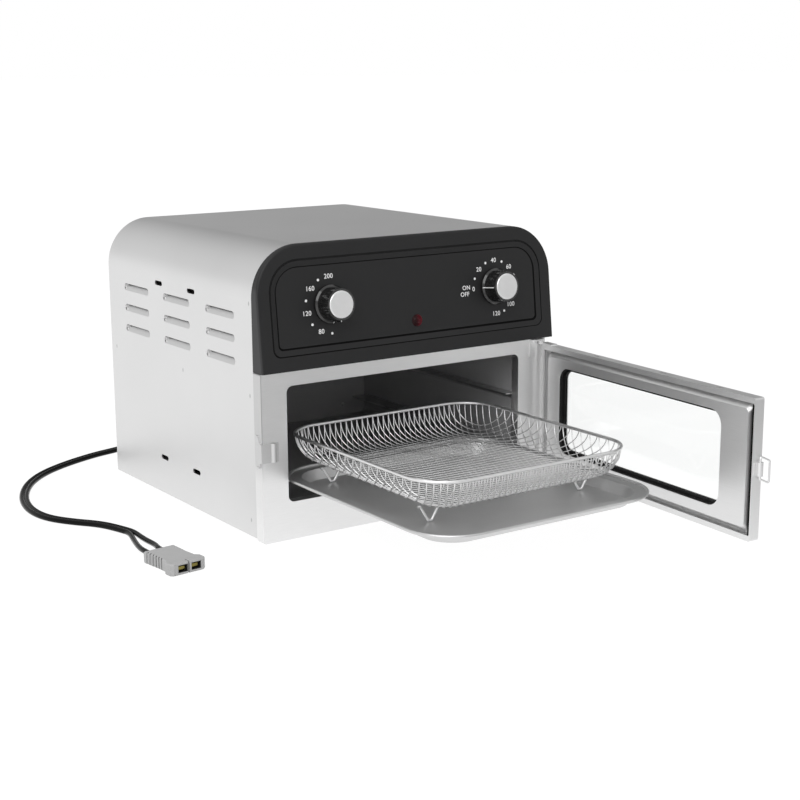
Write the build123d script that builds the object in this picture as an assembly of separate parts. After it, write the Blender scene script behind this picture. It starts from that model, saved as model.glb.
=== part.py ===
from build123d import *
import math
import os

# Countertop air fryer oven with a side-hinged glass door, a drip tray, a wire basket and a mains lead.
# Millimetres. X runs to the right, Y to the back, Z up. Sizes are first laid out about the middle of the body.

# Body
body_width = 326.0
body_depth = 294.0
body_height = 260.0
foot_height = 3.5
shoulder_radius = 45.0
sheet = 1.2
thin_sheet = 1.0
front_flange = 12.0
fit_gap = 0.2
weld_gap = 0.05

# Side louvres and slots
louvre_length = 54.0
louvre_height = 7.0
louvre_depth = 4.0
louvre_mouth = 1.2
louvre_pitch_y = 86.0
louvre_pitch_z = 20.6
louvre_middle_y = -2.5
louvre_middle_z = 179.5
slot_length = 15.0
slot_height = 4.5
slot_pitch_y = 67.0
upper_slot_z = 212.0
lower_slot_z = 40.1

# Front frame
frame_reach = 12.5
frame_bottom = 1.0
frame_top = 154.3
frame_right_step = 7.0
opening_left_margin = 26.0
opening_right_margin = 40.0
opening_bottom = 35.5
opening_top = 140.8
opening_radius = 6.0
opening_return = 10.0

# Control fascia
fascia_foot_reach = 16.5
fascia_head_reach = 5.0
fascia_wall = 2.5
field_margin_side = 12.0
field_top = 251.2
field_bottom = 166.0
field_slope = 7.5
field_depth = 1.5
field_shoulder = 30.0
field_corner = 8.0
field_rim_inset = 1.25
groove_width = 0.5
groove_depth = 0.6

# Knobs
knob_inset = 70.8
panel_offset = 3.6
knob_height = 208.8
knob_radius = 17.2
knob_skirt = 4.0
grip_radius = 15.0
grip_length = 14.0
flutes = 12
cap_radius = 12.1
cap_height = 1.5
shaft_radius = 3.0
running_gap = 0.05
knob_clearance = 0.6
lens_height = 185.4
lens_radius = 4.0

# Cooking cavity
cavity_side_step = 5.0
cavity_floor = 31.5
cavity_ceiling = 144.5
cavity_back_margin = 26.0
cavity_corner = 8.0
liner_sheet = 0.8
tray_rail_reach = 19.0
rack_rail_reach = 11.0
tray_rail_z = 52.2
rack_rail_z = 100.3

# Fan, heater and motor above the ceiling
fan_y = -8.0
fan_hole = 62.0
impeller_radius = 54.0
heater_radius = 70.0
heater_tube = 3.2
shroud_radius = 84.0
shroud_height = 42.0
cooling_fan_radius = 42.0
motor_radius = 27.0
motor_height = 28.0
bracket_height = 64.0

# Door
hinge_inset = 14.5
hinge_gap = 3.0
door_free_margin = 16.0
door_bottom = 26.5
door_top = 148.5
door_thickness = 10.0
door_open = 86.2
lip = 4.8
panel_hinge_edge = 13.0
panel_free_margin = 7.0
panel_bottom = 37.3
panel_top = 138.5
panel_bevel = 4.5
window_near = 31.0
window_free_margin = 38.5
window_bottom = 46.5
window_top = 130.5
window_radius = 13.0
glass_thickness = 2.6
gasket_lip = 3.0
gasket_wall = 4.0
gasket_step = 0.5
gasket_cover = 1.0
knuckle_radius = 2.7
pin_radius = 1.5

# Bail latch
bail_low = 79.5
bail_high = 100.5
bail_reach = 11.4
bail_wire = 0.9
bail_tip_low = 75.4
bail_tip_high = 94.5
bail_tail = 7.0
keeper_bottom = 83.0
keeper_top = 94.7
keeper_reach = 5.5

# Drip tray
tray_left_gap = 3.0
tray_right_gap = 11.0
tray_end_room = 18.5
tray_drawn_out = 235.0
tray_corner = 44.0
tray_rim = 52.5
tray_floor = 44.0
tray_rim_width = 12.0
tray_draft = 6.0
tray_sheet = 1.0
tray_bead = 1.5

# Wire basket
basket_left_step = 16.5
basket_right_step = 5.5
basket_front_step = 32.0
basket_back_step = -11.0
basket_corner = 38.0
basket_rim_z = 89.0
basket_floor_z = 61.5
basket_inset = 27.0
rim_wire = 1.5
mesh_wire = 1.3
mesh_pitch = 13.5
foot_wire = 1.1
foot_half = 10.0
foot_tab = 2.5
foot_point = 1.8
foot_bend = 1.55
foot_inset_x = 30.0
foot_inset_y = 45.0

# Mains lead
cord_width = 9.6
cord_thickness = 4.8
cord_tab = 12.0

os.makedirs("parts", exist_ok=True)

half_width = body_width / 2
front_y = -body_depth / 2
rear_y = body_depth / 2
body_top = foot_height + body_height
frame_face = front_y - frame_reach
hinge_x = half_width - hinge_inset
hinge_y = frame_face - hinge_gap

opening_left = opening_left_margin - half_width
opening_right = half_width - opening_right_margin
opening_middle = (opening_left + opening_right) / 2
cavity_left = opening_left - cavity_side_step
cavity_right = opening_right + cavity_side_step
cavity_back = rear_y - cavity_back_margin

door_width = hinge_x + half_width - door_free_margin
panel_free_edge = door_width - panel_free_margin
window_far = door_width - window_free_margin

tray_left = opening_left + tray_left_gap
tray_width = opening_right - tray_right_gap - tray_left
tray_middle = tray_left + tray_width / 2
tray_depth = cavity_back - frame_face - tray_end_room
tray_front = front_y - tray_drawn_out
basket_width = tray_width - basket_left_step - basket_right_step
basket_front = tray_front + basket_front_step
basket_depth = tray_depth - basket_front_step - basket_back_step

# The origin is the bottom middle of the body with its door, tray and basket, without the lead.
open_turn = math.radians(door_open)
door_end_y = hinge_y - (door_width + keeper_reach) * math.sin(open_turn)
catch_reach = 2.0
to_origin = Pos(catch_reach / 2, -(door_end_y + rear_y) / 2, 0)


def save(name, shape):
    export_step(to_origin * shape, f"parts/{name}.step")


def upright(y):
    """Plane that faces forwards at depth y: its own x and y are the body's X and Z."""
    return Plane(origin=(0, y, 0), x_dir=(1, 0, 0), z_dir=(0, -1, 0))


def block(x0, x1, y0, y1, z0, z1):
    return Pos((x0 + x1) / 2, (y0 + y1) / 2, (z0 + z1) / 2) * Box(x1 - x0, y1 - y0, z1 - z0)


def panel(x0, x1, z0, z1, radius=0.0):
    face = Pos((x0 + x1) / 2, (z0 + z1) / 2) * Rectangle(x1 - x0, z1 - z0)
    return fillet(face.vertices(), radius) if radius > 0 else face


def arch(width, bottom, top, radius):
    face = Pos(0, (bottom + top) / 2) * Rectangle(width, top - bottom)
    return fillet(face.vertices().group_by(Axis.Y)[-1], radius)


def rod(start, end, radius):
    run = Vector(*end) - Vector(*start)
    return extrude(Plane(origin=start, z_dir=run) * Circle(radius), run.length)


def bundle(solids):
    return Compound(children=list(solids))


# Body: wrapper with inward louvres, back panel, base plate and feet


def louvre(y, z):
    """Inward scoop of one louvre on the right side: it slopes in from its lower edge and is open along the upper."""
    x = half_width
    low = z - louvre_height / 2
    mouth = z + louvre_height / 2 - louvre_mouth
    outer = Polyline((x - sheet, low - sheet), (x, low - sheet), (x, mouth), (x - louvre_depth - sheet, mouth),
                     close=True)
    inner = Polyline((x, low), (x + 1, low), (x + 1, mouth + 2), (x - louvre_depth, mouth + 2),
                     (x - louvre_depth, mouth), close=True)
    hood = extrude(upright(y + louvre_length / 2 + sheet) * make_face(outer), louvre_length + 2 * sheet)
    space = extrude(upright(y + louvre_length / 2) * make_face(inner), louvre_length)
    side_plane = Plane(origin=(x + 1, y, z), x_dir=(0, 1, 0), z_dir=(1, 0, 0))
    reach = louvre_depth + sheet + 2
    hood &= extrude(side_plane * SlotOverall(louvre_length + 2 * sheet, louvre_height + 2 * sheet), -reach)
    space &= extrude(side_plane * SlotOverall(louvre_length, louvre_height), -reach)
    return hood, space


def build_wrapper():
    tunnel = extrude(upright(rear_y) * arch(body_width, foot_height, body_top, shoulder_radius), body_depth)
    inside = arch(body_width - 2 * sheet, foot_height - 1, body_top - sheet, shoulder_radius - sheet)
    tunnel -= extrude(upright(rear_y + 1) * inside, body_depth + 2)
    ring = arch(body_width, foot_height, body_top, shoulder_radius)
    ring -= arch(body_width - 2 * front_flange, foot_height - 1, body_top - front_flange,
                 shoulder_radius - front_flange)
    tunnel += extrude(upright(front_y + sheet) * ring, sheet)
    hoods = []
    spaces = []
    for row in (-1, 0, 1):
        for column in (-1, 0, 1):
            y = louvre_middle_y + column * louvre_pitch_y
            z = louvre_middle_z + row * louvre_pitch_z
            hood, space = louvre(y, z)
            hoods += [hood, mirror(hood, Plane.YZ)]
            spaces += [space, mirror(space, Plane.YZ)]
    for z in (upper_slot_z, lower_slot_z):
        for side in (-0.5, 0.5):
            slot = Pos(side * slot_pitch_y, z) * SlotOverall(slot_length, slot_height)
            spaces.append(extrude(Plane(origin=(half_width + 1, 0, 0), x_dir=(0, 1, 0), z_dir=(1, 0, 0)) * slot,
                                  -body_width - 2))
    return tunnel + hoods - spaces


gland_x = -45.5
gland_z = 12.0
gland_radius = 5.5
gland_flange = 7.0
gland_reach = 8.0


def build_back_panel():
    inner_width = body_width - 2 * sheet - 2 * fit_gap
    inner_top = body_top - sheet - fit_gap
    face = arch(inner_width, foot_height + thin_sheet + fit_gap, inner_top, shoulder_radius - sheet - fit_gap)
    for row in range(5):
        for side in (-1, 1):
            face -= Pos(side * 62, 176 + row * 12) * SlotOverall(70, 4)
    face -= Pos(gland_x, gland_z) * Circle(gland_radius + fit_gap)
    plate = extrude(upright(rear_y - sheet) * face, thin_sheet)
    lip_ring = arch(inner_width, foot_height + thin_sheet + fit_gap, inner_top, shoulder_radius - sheet - fit_gap)
    lip_ring -= arch(inner_width - 2 * thin_sheet, foot_height - 1, inner_top - thin_sheet,
                     shoulder_radius - sheet - fit_gap - thin_sheet)
    return plate + extrude(upright(rear_y - sheet) * lip_ring, 9)


def build_base_plate():
    inner = half_width - sheet - fit_gap
    plate = block(-inner, inner, front_y + sheet + fit_gap, rear_y, foot_height, foot_height + thin_sheet)
    for side in (-1, 1):
        edge = side * (inner - thin_sheet / 2)
        plate += block(edge - thin_sheet / 2, edge + thin_sheet / 2, front_y + sheet + fit_gap, rear_y - 12,
                       foot_height, foot_height + 14)
    slots = [Pos(x, y, foot_height) * extrude(SlotOverall(48, 5), 4, both=True)
             for x in (-70, 0, 70) for y in (-60, -44, 44, 60)]
    return plate - slots


foot_radius = 9.0
foot_inset = 25.0
feet_places = [(sx * (half_width - foot_inset), sy * (rear_y - foot_inset)) for sx in (-1, 1) for sy in (-1, 1)]


def build_feet():
    feet = []
    for x, y in feet_places:
        pad = Pos(x, y, foot_height / 2) * Cylinder(foot_radius, foot_height)
        feet.append(chamfer(pad.edges().group_by(Axis.Z)[0], 0.8))
    return bundle(feet)


save("wrapper", build_wrapper())
save("back_panel", build_back_panel())
save("base_plate", build_base_plate())
save("feet", build_feet())

# Front frame: a shallow bright pan round the cavity's mouth

frame_right = half_width - frame_right_step


def build_front_frame():
    outline = panel(-half_width, frame_right, frame_bottom, frame_top, 2.0)
    inside = panel(-half_width + thin_sheet, frame_right - thin_sheet, frame_bottom + thin_sheet,
                   frame_top - thin_sheet, 1.0)
    pan = extrude(upright(front_y) * outline, frame_reach)
    pan -= extrude(upright(front_y + 1) * inside, frame_reach + 1 - thin_sheet)
    mouth = panel(opening_left, opening_right, opening_bottom, opening_top, opening_radius)
    collar = panel(opening_left - thin_sheet, opening_right + thin_sheet, opening_bottom - thin_sheet,
                   opening_top + thin_sheet, opening_radius + thin_sheet)
    pan += extrude(upright(frame_face + opening_return) * collar, opening_return)
    return pan - extrude(upright(front_y + 1) * mouth, frame_reach + 2)


save("front_frame", build_front_frame())

# Control fascia: a hollow raked moulding with a sunk field

rake = math.atan((fascia_foot_reach - fascia_head_reach) / (body_top - frame_top))
fascia_plane = Plane(origin=(0, front_y - fascia_foot_reach, frame_top), x_dir=(1, 0, 0),
                     z_dir=(0, -math.cos(rake), math.sin(rake)))


def up_slope(z):
    """Distance up the raked face at height z."""
    return (z - frame_top) / math.cos(rake)


def raked_solid(margin, setback):
    """The fascia's block, drawn in by a margin on its outline and set back behind the raked face."""
    face = arch(body_width - 2 * margin, frame_top + margin, body_top - margin, shoulder_radius - margin)
    solid = extrude(upright(front_y) * face, fascia_foot_reach + 5)
    cutter = fascia_plane * Pos(0, 60, 50 - setback) * Box(400, 260, 100)
    return solid - cutter


def field_face(inset):
    half = half_width - field_margin_side - inset
    low = up_slope(field_bottom) + inset
    high = up_slope(field_top) - inset
    face = Pos(0, (low + high) / 2) * Rectangle(2 * half, high - low)
    face = fillet(face.vertices().group_by(Axis.Y)[-1], field_shoulder - inset)
    return fillet(face.vertices().group_by(Axis.Y)[0], max(field_corner - inset / 2, 1))


knob_spread = half_width - knob_inset
knob_places = {"temperature": panel_offset - knob_spread, "timer": panel_offset + knob_spread}


def on_field(x, z, out=0.0):
    """Place on the sunk field at x and height z, with its own z pointing out of it."""
    return fascia_plane * Pos(x, up_slope(z), out - field_depth)


def build_fascia():
    body = raked_solid(0, 0)
    front_edges = body.edges().filter_by(lambda e: abs((fascia_plane.to_local_coords(e.center())).Z) < 0.01)
    upper = front_edges.sort_by(Axis.Z)[1:]
    body = fillet(upper, 2.2)
    body -= raked_solid(fascia_wall, fascia_wall + field_depth)
    sunk = loft([fascia_plane * Pos(0, 0, -field_depth) * field_face(field_slope),
                 fascia_plane * Pos(0, 0, 0.3) * field_face(0)])
    body -= sunk
    rims = ((field_rim_inset, groove_width / 2), (field_slope, groove_width / 2 - field_depth))
    for inset, top in rims:
        line = field_face(inset - groove_width / 2) - field_face(inset + groove_width / 2)
        body -= extrude(fascia_plane * Pos(0, 0, top) * line, -groove_depth - groove_width / 2)
    for x in knob_places.values():
        body -= on_field(x, knob_height) * Cylinder(shaft_radius + knob_clearance, 20)
    return body - on_field(panel_offset, lens_height) * Cylinder(lens_radius - 0.7, 20)


save("control_fascia", build_fascia())

# Indicator lamp

lens_dome = 1.6


def build_lens():
    stem = lens_radius - 0.7 - fit_gap
    ball = (lens_radius ** 2 + lens_dome ** 2) / (2 * lens_dome)
    cap = Pos(0, 0, 0.5 + lens_dome - ball) * Sphere(ball)
    cap &= Pos(0, 0, 0.5 + lens_dome) * Cylinder(lens_radius, 2 * lens_dome)
    lens = Pos(0, 0, 0.25) * Cylinder(lens_radius, 0.5) + cap
    return on_field(panel_offset, lens_height) * (lens + Pos(0, 0, -fascia_wall / 2) * Cylinder(stem, fascia_wall))


def build_lamp_holder():
    holder = Pos(0, 0, -fascia_wall - 9) * Cylinder(5.5, 18)
    return on_field(panel_offset, lens_height) * (holder - Pos(0, 0, -fascia_wall - 2) * Cylinder(2.5, 4.1))


save("indicator_lens", build_lens())
save("lamp_holder", build_lamp_holder())

# Knobs, their shafts and the units that they turn

unit_sizes = {"temperature": (30.0, 30.0, 16.0), "timer": (44.0, 38.0, 22.0)}
face_gap = 0.6
shaft_depth = 12.0


def build_knob(pointer_angle):
    skirt = Pos(0, 0, face_gap + knob_skirt / 2) * Cylinder(knob_radius, knob_skirt)
    skirt = chamfer(skirt.edges().group_by(Axis.Z)[-1], 1.5)
    grip = extrude(Pos(0, 0, face_gap + knob_skirt) * Circle(grip_radius), grip_length, taper=4)
    for n in range(flutes):
        turn = 360 / flutes * (n + 0.5)
        grip -= Rot(0, 0, turn) * Pos(grip_radius + 1.4, 0, face_gap + knob_skirt + 7) * Cylinder(2.6, 16)
    pointer = Rot(0, 0, pointer_angle) * Pos(grip_radius - 1.2, 0, face_gap + knob_skirt + 6) * Box(3.4, 1.2, 12)
    knob = skirt + grip + pointer
    seat = Pos(0, 0, face_gap + knob_skirt + grip_length - 0.4) * Cylinder(cap_radius + fit_gap, 0.82)
    socket = Pos(0, 0, face_gap + 5) * Cylinder(shaft_radius + running_gap, 10.2)
    return knob - seat - socket


def build_cap():
    base = face_gap + knob_skirt + grip_length - 0.8
    cap = Pos(0, 0, base + cap_height / 2) * Cylinder(cap_radius, cap_height)
    return chamfer(cap.edges().group_by(Axis.Z)[-1], 0.4)


def build_shaft():
    return rod((0, 0, face_gap + 9), (0, 0, -fascia_wall - shaft_depth), shaft_radius)


def build_unit(name):
    width, height, depth = unit_sizes[name]
    case = Pos(0, 0, -fascia_wall - depth / 2) * Box(width, height, depth)
    case = fillet(case.edges().filter_by(Axis.Z), 3)
    for side in (-1, 1):
        case += Pos(side * (width / 2 + 3), 0, -fascia_wall - 0.6) * Box(8, 10, 1.2)
        case += Pos(side * width / 4, 0, -fascia_wall - depth - 3) * Box(6, 0.8, 6)
    return case - Pos(0, 0, -fascia_wall - shaft_depth / 2) * Cylinder(shaft_radius + running_gap, shaft_depth + 1)


pointer_angles = {"temperature": 270.0, "timer": 180.0}
for name, x in knob_places.items():
    spot = on_field(x, knob_height)
    save(f"{name}_knob", spot * build_knob(pointer_angles[name]))
    save(f"{name}_knob_cap", spot * build_cap())
    save(f"{name}_shaft", spot * build_shaft())
    unit_name = "thermostat_unit" if name == "temperature" else "timer_unit"
    save(unit_name, spot * build_unit(name))

# Cooking cavity: liner with a round fan hole in its ceiling, and four rails

liner_front = frame_face + thin_sheet


def build_liner():
    outer = panel(cavity_left - liner_sheet, cavity_right + liner_sheet, cavity_floor - liner_sheet,
                  cavity_ceiling + liner_sheet, cavity_corner + liner_sheet)
    inner = panel(cavity_left, cavity_right, cavity_floor, cavity_ceiling, cavity_corner)
    box = extrude(upright(cavity_back + liner_sheet) * outer, cavity_back + liner_sheet - liner_front)
    box -= extrude(upright(cavity_back) * inner, cavity_back - liner_front + 1)
    return box - Pos(opening_middle, fan_y, cavity_ceiling) * Cylinder(fan_hole, 4)


rail_front = frame_face + opening_return + 1
rail_back = cavity_back - 6
rail_leg = 6.0


def build_rail(wall, inward, z, reach):
    """An angle rail on a side wall: its ledge points inwards and its leg lies on the wall."""
    seat = wall + inward * weld_gap
    ledge = sorted((seat, wall + inward * reach))
    leg = sorted((seat, seat + inward * thin_sheet))
    rail = block(ledge[0], ledge[1], rail_front, rail_back, z - thin_sheet, z)
    return rail + block(leg[0], leg[1], rail_front, rail_back, z - rail_leg, z)


save("cavity_liner", build_liner())
for side, wall, inward in (("left", cavity_left, 1), ("right", cavity_right, -1)):
    save(f"{side}_tray_rail", build_rail(wall, inward, tray_rail_z, tray_rail_reach))
    save(f"{side}_rack_rail", build_rail(wall, inward, rack_rail_z, rack_rail_reach))

# Fan guard, heating element, shroud, motor and its two fans

deck = cavity_ceiling + liner_sheet
guard_wire = 1.1
guard_ring = fan_hole + 4
guard_rings = 6
guard_core = 14.0


def ring(radius, wire, z):
    return Pos(0, 0, z) * Torus(radius, wire)


def build_guard():
    z = deck + guard_wire
    plate = Pos(0, 0, z) * Cylinder(guard_core, 2 * guard_wire)
    for n in range(8):
        turn = Rot(0, 0, 45 * n)
        plate += turn * Pos((guard_core + guard_ring) / 2, 0, z) * Box(guard_ring - guard_core + 4, 2, 2 * guard_wire)
    step = (fan_hole - guard_core) / guard_rings
    for n in range(1, guard_rings):
        radius = guard_core + n * step
        plate += Pos(0, 0, z) * (Cylinder(radius + 1, 2 * guard_wire) - Cylinder(radius - 1, 2 * guard_wire))
    plate += Pos(0, 0, z) * (Cylinder(guard_ring + 3, 2 * guard_wire) - Cylinder(guard_ring - 3, 2 * guard_wire))
    return Pos(opening_middle, fan_y, 0) * plate


heater_z = deck + 12.0
terminal_spread = 12.0
terminal_end = shroud_radius + 16.0


def build_heater():
    """A ring of sheathed tube, open at the back, whose two ends turn outwards through the shroud."""
    gap = math.degrees(math.asin(terminal_spread / heater_radius))
    loop = CenterArc((0, 0), heater_radius, 90 + gap, 360 - 2 * gap)
    root = math.sqrt(heater_radius ** 2 - terminal_spread ** 2)
    left = Line((-terminal_spread, root), (-terminal_spread, terminal_end))
    right = Line((terminal_spread, root), (terminal_spread, terminal_end))
    tube = Plane(origin=(heater_radius * math.cos(math.radians(90 + gap)),
                         heater_radius * math.sin(math.radians(90 + gap)), 0),
                 z_dir=(-math.sin(math.radians(90 + gap)), math.cos(math.radians(90 + gap)), 0))
    ring_solid = sweep(tube * Circle(heater_tube), loop)
    legs = [rod(line @ 0, line @ 1, heater_tube) for line in (left, right)]
    knees = [Pos(*(line @ 0)) * Sphere(heater_tube) for line in (left, right)]
    return Pos(opening_middle, fan_y, heater_z) * (ring_solid + legs + knees)


def build_shroud():
    cup = Pos(0, 0, deck + shroud_height / 2) * Cylinder(shroud_radius, shroud_height)
    cup = fillet(cup.edges().group_by(Axis.Z)[-1], 8)
    core = Pos(0, 0, deck + shroud_height / 2 - liner_sheet / 2) * Cylinder(shroud_radius - liner_sheet,
                                                                          shroud_height - liner_sheet)
    core = fillet(core.edges().group_by(Axis.Z)[-1], 8 - liner_sheet)
    rim = Pos(0, 0, deck + liner_sheet / 2) * Cylinder(shroud_radius + 9, liner_sheet)
    cup = cup + rim - core
    cup -= Pos(0, 0, deck + shroud_height) * Cylinder(shaft_radius + 2, 4)
    for side in (-1, 1):
        cup -= rod((side * terminal_spread, shroud_radius - 12, heater_z),
                   (side * terminal_spread, shroud_radius + 4, heater_z), heater_tube + 0.3)
    return Pos(opening_middle, fan_y, 0) * cup


impeller_z = deck + 2 * guard_wire + 4
impeller_height = 16.0
blades = 10
shroud_top = deck + shroud_height
cooling_z = shroud_top + 5
bracket_top = deck + bracket_height
motor_z = bracket_top + thin_sheet


def build_impeller():
    disc_z = impeller_z + impeller_height
    wheel = Pos(0, 0, disc_z) * Cylinder(impeller_radius, thin_sheet)
    wheel += Pos(0, 0, disc_z - 5) * Cylinder(8, 10)
    for n in range(blades):
        blade = Pos(36, 0, impeller_z + impeller_height / 2) * Rot(0, 0, 24) * Box(32, 1.2, impeller_height)
        wheel += Rot(0, 0, 360 / blades * n) * blade
    return Pos(opening_middle, fan_y, 0) * (wheel - Pos(0, 0, disc_z) * Cylinder(shaft_radius + running_gap, 40))


def build_cooling_fan():
    wheel = Pos(0, 0, cooling_z + 4) * Cylinder(8, 9)
    for n in range(8):
        blade = Pos(24, 0, cooling_z + 4) * Rot(35, 0, 0) * Box(36, 11, 1.0)
        wheel += Rot(0, 0, 45 * n) * blade
    return Pos(opening_middle, fan_y, 0) * (wheel - Pos(0, 0, cooling_z) * Cylinder(shaft_radius + running_gap, 40))


def build_motor_shaft():
    return rod((opening_middle, fan_y, impeller_z + 3), (opening_middle, fan_y, motor_z + motor_height + 3), shaft_radius)


def build_motor():
    stack = Pos(0, 0, motor_z + motor_height / 2) * Box(2 * motor_radius, 2 * motor_radius - 12, motor_height - 8)
    stack = fillet(stack.edges().filter_by(Axis.Z), 4)
    for z in (motor_z + 2, motor_z + motor_height - 2):
        stack += Pos(0, 0, z) * Cylinder(14, 4)
    stack += Pos(motor_radius + 6, 0, motor_z + motor_height / 2) * Box(14, 30, 22)
    return Pos(opening_middle, fan_y, 0) * (stack - Pos(0, 0, motor_z) * Cylinder(shaft_radius + running_gap, 80))


bracket_width = 40.0
bracket_leg = 70.0


def build_bracket():
    """A bridge over the shroud: two legs with feet on its rim flange, and a deck that carries the motor."""
    foot = deck + liner_sheet
    over = shroud_radius + 1.5
    strap = block(-over - thin_sheet, over + thin_sheet, -bracket_width / 2, bracket_width / 2,
                  bracket_top, bracket_top + thin_sheet)
    for side in (-1, 1):
        leg = sorted((side * over, side * (over + thin_sheet)))
        strap += block(leg[0], leg[1], -bracket_width / 2, bracket_width / 2, foot, bracket_top)
        toe = sorted((side * over, side * (over + 7)))
        strap += block(toe[0], toe[1], -bracket_width / 2, bracket_width / 2, foot, foot + thin_sheet)
    return Pos(opening_middle, fan_y, 0) * (strap - Pos(0, 0, bracket_top) * Cylinder(shaft_radius + 1, 6))


save("fan_guard", build_guard())
save("heating_element", build_heater())
save("fan_shroud", build_shroud())
save("fan_impeller", build_impeller())
save("cooling_fan", build_cooling_fan())
save("motor_shaft", build_motor_shaft())
save("fan_motor", build_motor())
save("motor_bracket", build_bracket())

# Latch catch on the body's left front corner

catch_sheet = 1.2
catch_middle = 83.5
catch_front_width = 9.0
catch_front_half = 8.5
catch_side_depth = 10.0
catch_side_top = 15.5
catch_side_bottom = 13.5
catch_roll = 3.1


def build_catch():
    """A plate bent round the frame's corner: its front leg ends in a rolled channel that the bail drops over."""
    x = -half_width
    low, high = catch_middle - catch_front_half, catch_middle + catch_front_half
    front = block(x - catch_sheet, x + catch_front_width, frame_face - catch_sheet, frame_face, low, high)
    roll_x = x + catch_front_width + catch_roll - catch_sheet / 2
    half_ring = Circle(catch_roll) - Circle(catch_roll - catch_sheet)
    half_ring &= Pos(0, -catch_roll / 2) * Rectangle(2 * catch_roll, catch_roll)
    roll = extrude(Pos(roll_x, frame_face, low) * half_ring, high - low)
    end = block(roll_x + catch_roll - catch_sheet, roll_x + catch_roll + 1.6, frame_face - catch_sheet, frame_face,
                low, high)
    rear = frame_face + catch_side_depth
    top, bottom = catch_middle + catch_side_top, catch_middle - catch_side_bottom
    outline = Polyline((-frame_face + catch_sheet, low), (-frame_face + catch_sheet, high), (-frame_face - 3, high),
                       (-frame_face - 6, top), (-rear, top), (-rear, bottom + 3), (-rear + 3, bottom),
                       (-rear + 7, bottom), (-rear + 8, low), close=True)
    leg_face = make_face(outline)
    corners = leg_face.vertices().sort_by(Axis.X)
    leg_face = fillet(corners[:-2], 1.2)
    leg = extrude(Plane(origin=(x, 0, 0), x_dir=(0, -1, 0), z_dir=(-1, 0, 0)) * leg_face, catch_sheet)
    curl = rod((x - catch_reach / 2, rear - 7, bottom + 1), (x - catch_reach / 2, rear - 3, bottom + 1), catch_reach / 2)
    return front + roll + end + leg + curl


save("latch_catch", build_catch())

# Door hinge brackets on the frame, with their pins

leaf_width = 12.0
bracket_sheet = 1.6
knuckle_length = 2.6
knuckle_gap = 0.4
door_air = 0.4


def build_hinge_bracket(side):
    """One bracket above or below the door: side is +1 for the upper one, -1 for the lower one."""
    edge = door_top if side > 0 else door_bottom
    near = edge + side * (door_air + knuckle_length + knuckle_gap)
    far = near + side * bracket_sheet
    low, high = sorted((near, far))
    arm = block(hinge_x - leaf_width, hinge_x + 3, hinge_y - 3, frame_face, low, high)
    arm = fillet(arm.edges().filter_by(Axis.Z).group_by(Axis.Y)[0], 2.5)
    leaf_low, leaf_high = sorted((far, edge - side * 12))
    leaf = block(hinge_x - leaf_width, hinge_x - knuckle_radius - fit_gap, frame_face - 1.2, frame_face,
                 leaf_low, leaf_high)
    pin = rod((hinge_x, hinge_y, edge + side * (door_air + 0.3)), (hinge_x, hinge_y, near), pin_radius)
    return arm + leaf + pin


save("upper_hinge_bracket", build_hinge_bracket(1))
save("lower_hinge_bracket", build_hinge_bracket(-1))

# Door, drawn closed: u runs from the hinge to the free edge, n outwards from the inner face

door_swing = Pos(hinge_x, hinge_y, 0) * Rot(0, 0, door_open) * Pos(-hinge_x, -hinge_y, 0)


def door_prism(u0, u1, z0, z1, n0, n1, radius=0.0):
    """A plate of the door between two distances n, with rounded corners."""
    face = panel(-u1, -u0, z0, z1, radius)
    return Pos(hinge_x, hinge_y - n0, 0) * extrude(upright(0) * face, n1 - n0)


def swung(shape):
    return door_swing * shape


def build_door_skin():
    skin = door_prism(0, door_width, door_bottom, door_top, 0, door_thickness, 2.0)
    skin -= door_prism(thin_sheet, door_width - thin_sheet, door_bottom + thin_sheet, door_top - thin_sheet,
                       thin_sheet, door_thickness - thin_sheet, 1.0)
    skin -= door_prism(lip, door_width - thin_sheet, door_bottom + lip, door_top - lip, -1, thin_sheet + 0.1, 1.5)
    cut = door_prism(window_near + gasket_lip, window_far - gasket_lip, window_bottom + gasket_lip,
                     window_top - gasket_lip, door_thickness - 3, door_thickness + 1, window_radius - gasket_lip)
    for u in vent_places:
        skin -= door_prism(u - 4.5, u + 4.5, door_top - 2, door_top + 1, 4.8, 6.3)
    return swung(skin - cut)


vent_places = (80.0, 174.0, 247.0)
inner_flange_n = 5.0
glass_n = 5.8


def door_loft(face_a, n_a, face_b, n_b):
    """A loft of the door between two faces, drawn in (-u, height), at two distances n."""
    return loft([upright(hinge_y - n_a) * Pos(hinge_x, 0) * face_a, upright(hinge_y - n_b) * Pos(hinge_x, 0) * face_b])


def build_inner_panel():
    """A drawn panel: a flat face with a window, bevelled down to a hidden flange inside the skin."""
    crown = panel(-panel_free_edge, -panel_hinge_edge, panel_bottom, panel_top, 4)
    foot = panel(-panel_free_edge - panel_bevel * 0.4, -panel_hinge_edge + panel_bevel, panel_bottom - panel_bevel,
                 panel_top + panel_bevel, 5)
    body = door_loft(foot, inner_flange_n, crown, -0.5)
    body -= door_loft(offset(foot, -1.6 * thin_sheet), inner_flange_n, offset(crown, -thin_sheet), 0.5)
    inside = thin_sheet + 0.3
    flange = door_prism(inside, door_width - inside, door_bottom + inside, door_top - inside,
                        inner_flange_n, inner_flange_n + 0.8, 1.0)
    flange -= door_prism(panel_hinge_edge - panel_bevel + 0.8, panel_free_edge + 1, panel_bottom - panel_bevel + 0.8,
                         panel_top + panel_bevel - 0.8, inner_flange_n - 1, inner_flange_n + 2, 4)
    mouth = door_prism(window_near, window_far, window_bottom, window_top, -2, door_thickness, window_radius)
    return swung(body + flange - mouth)


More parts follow.
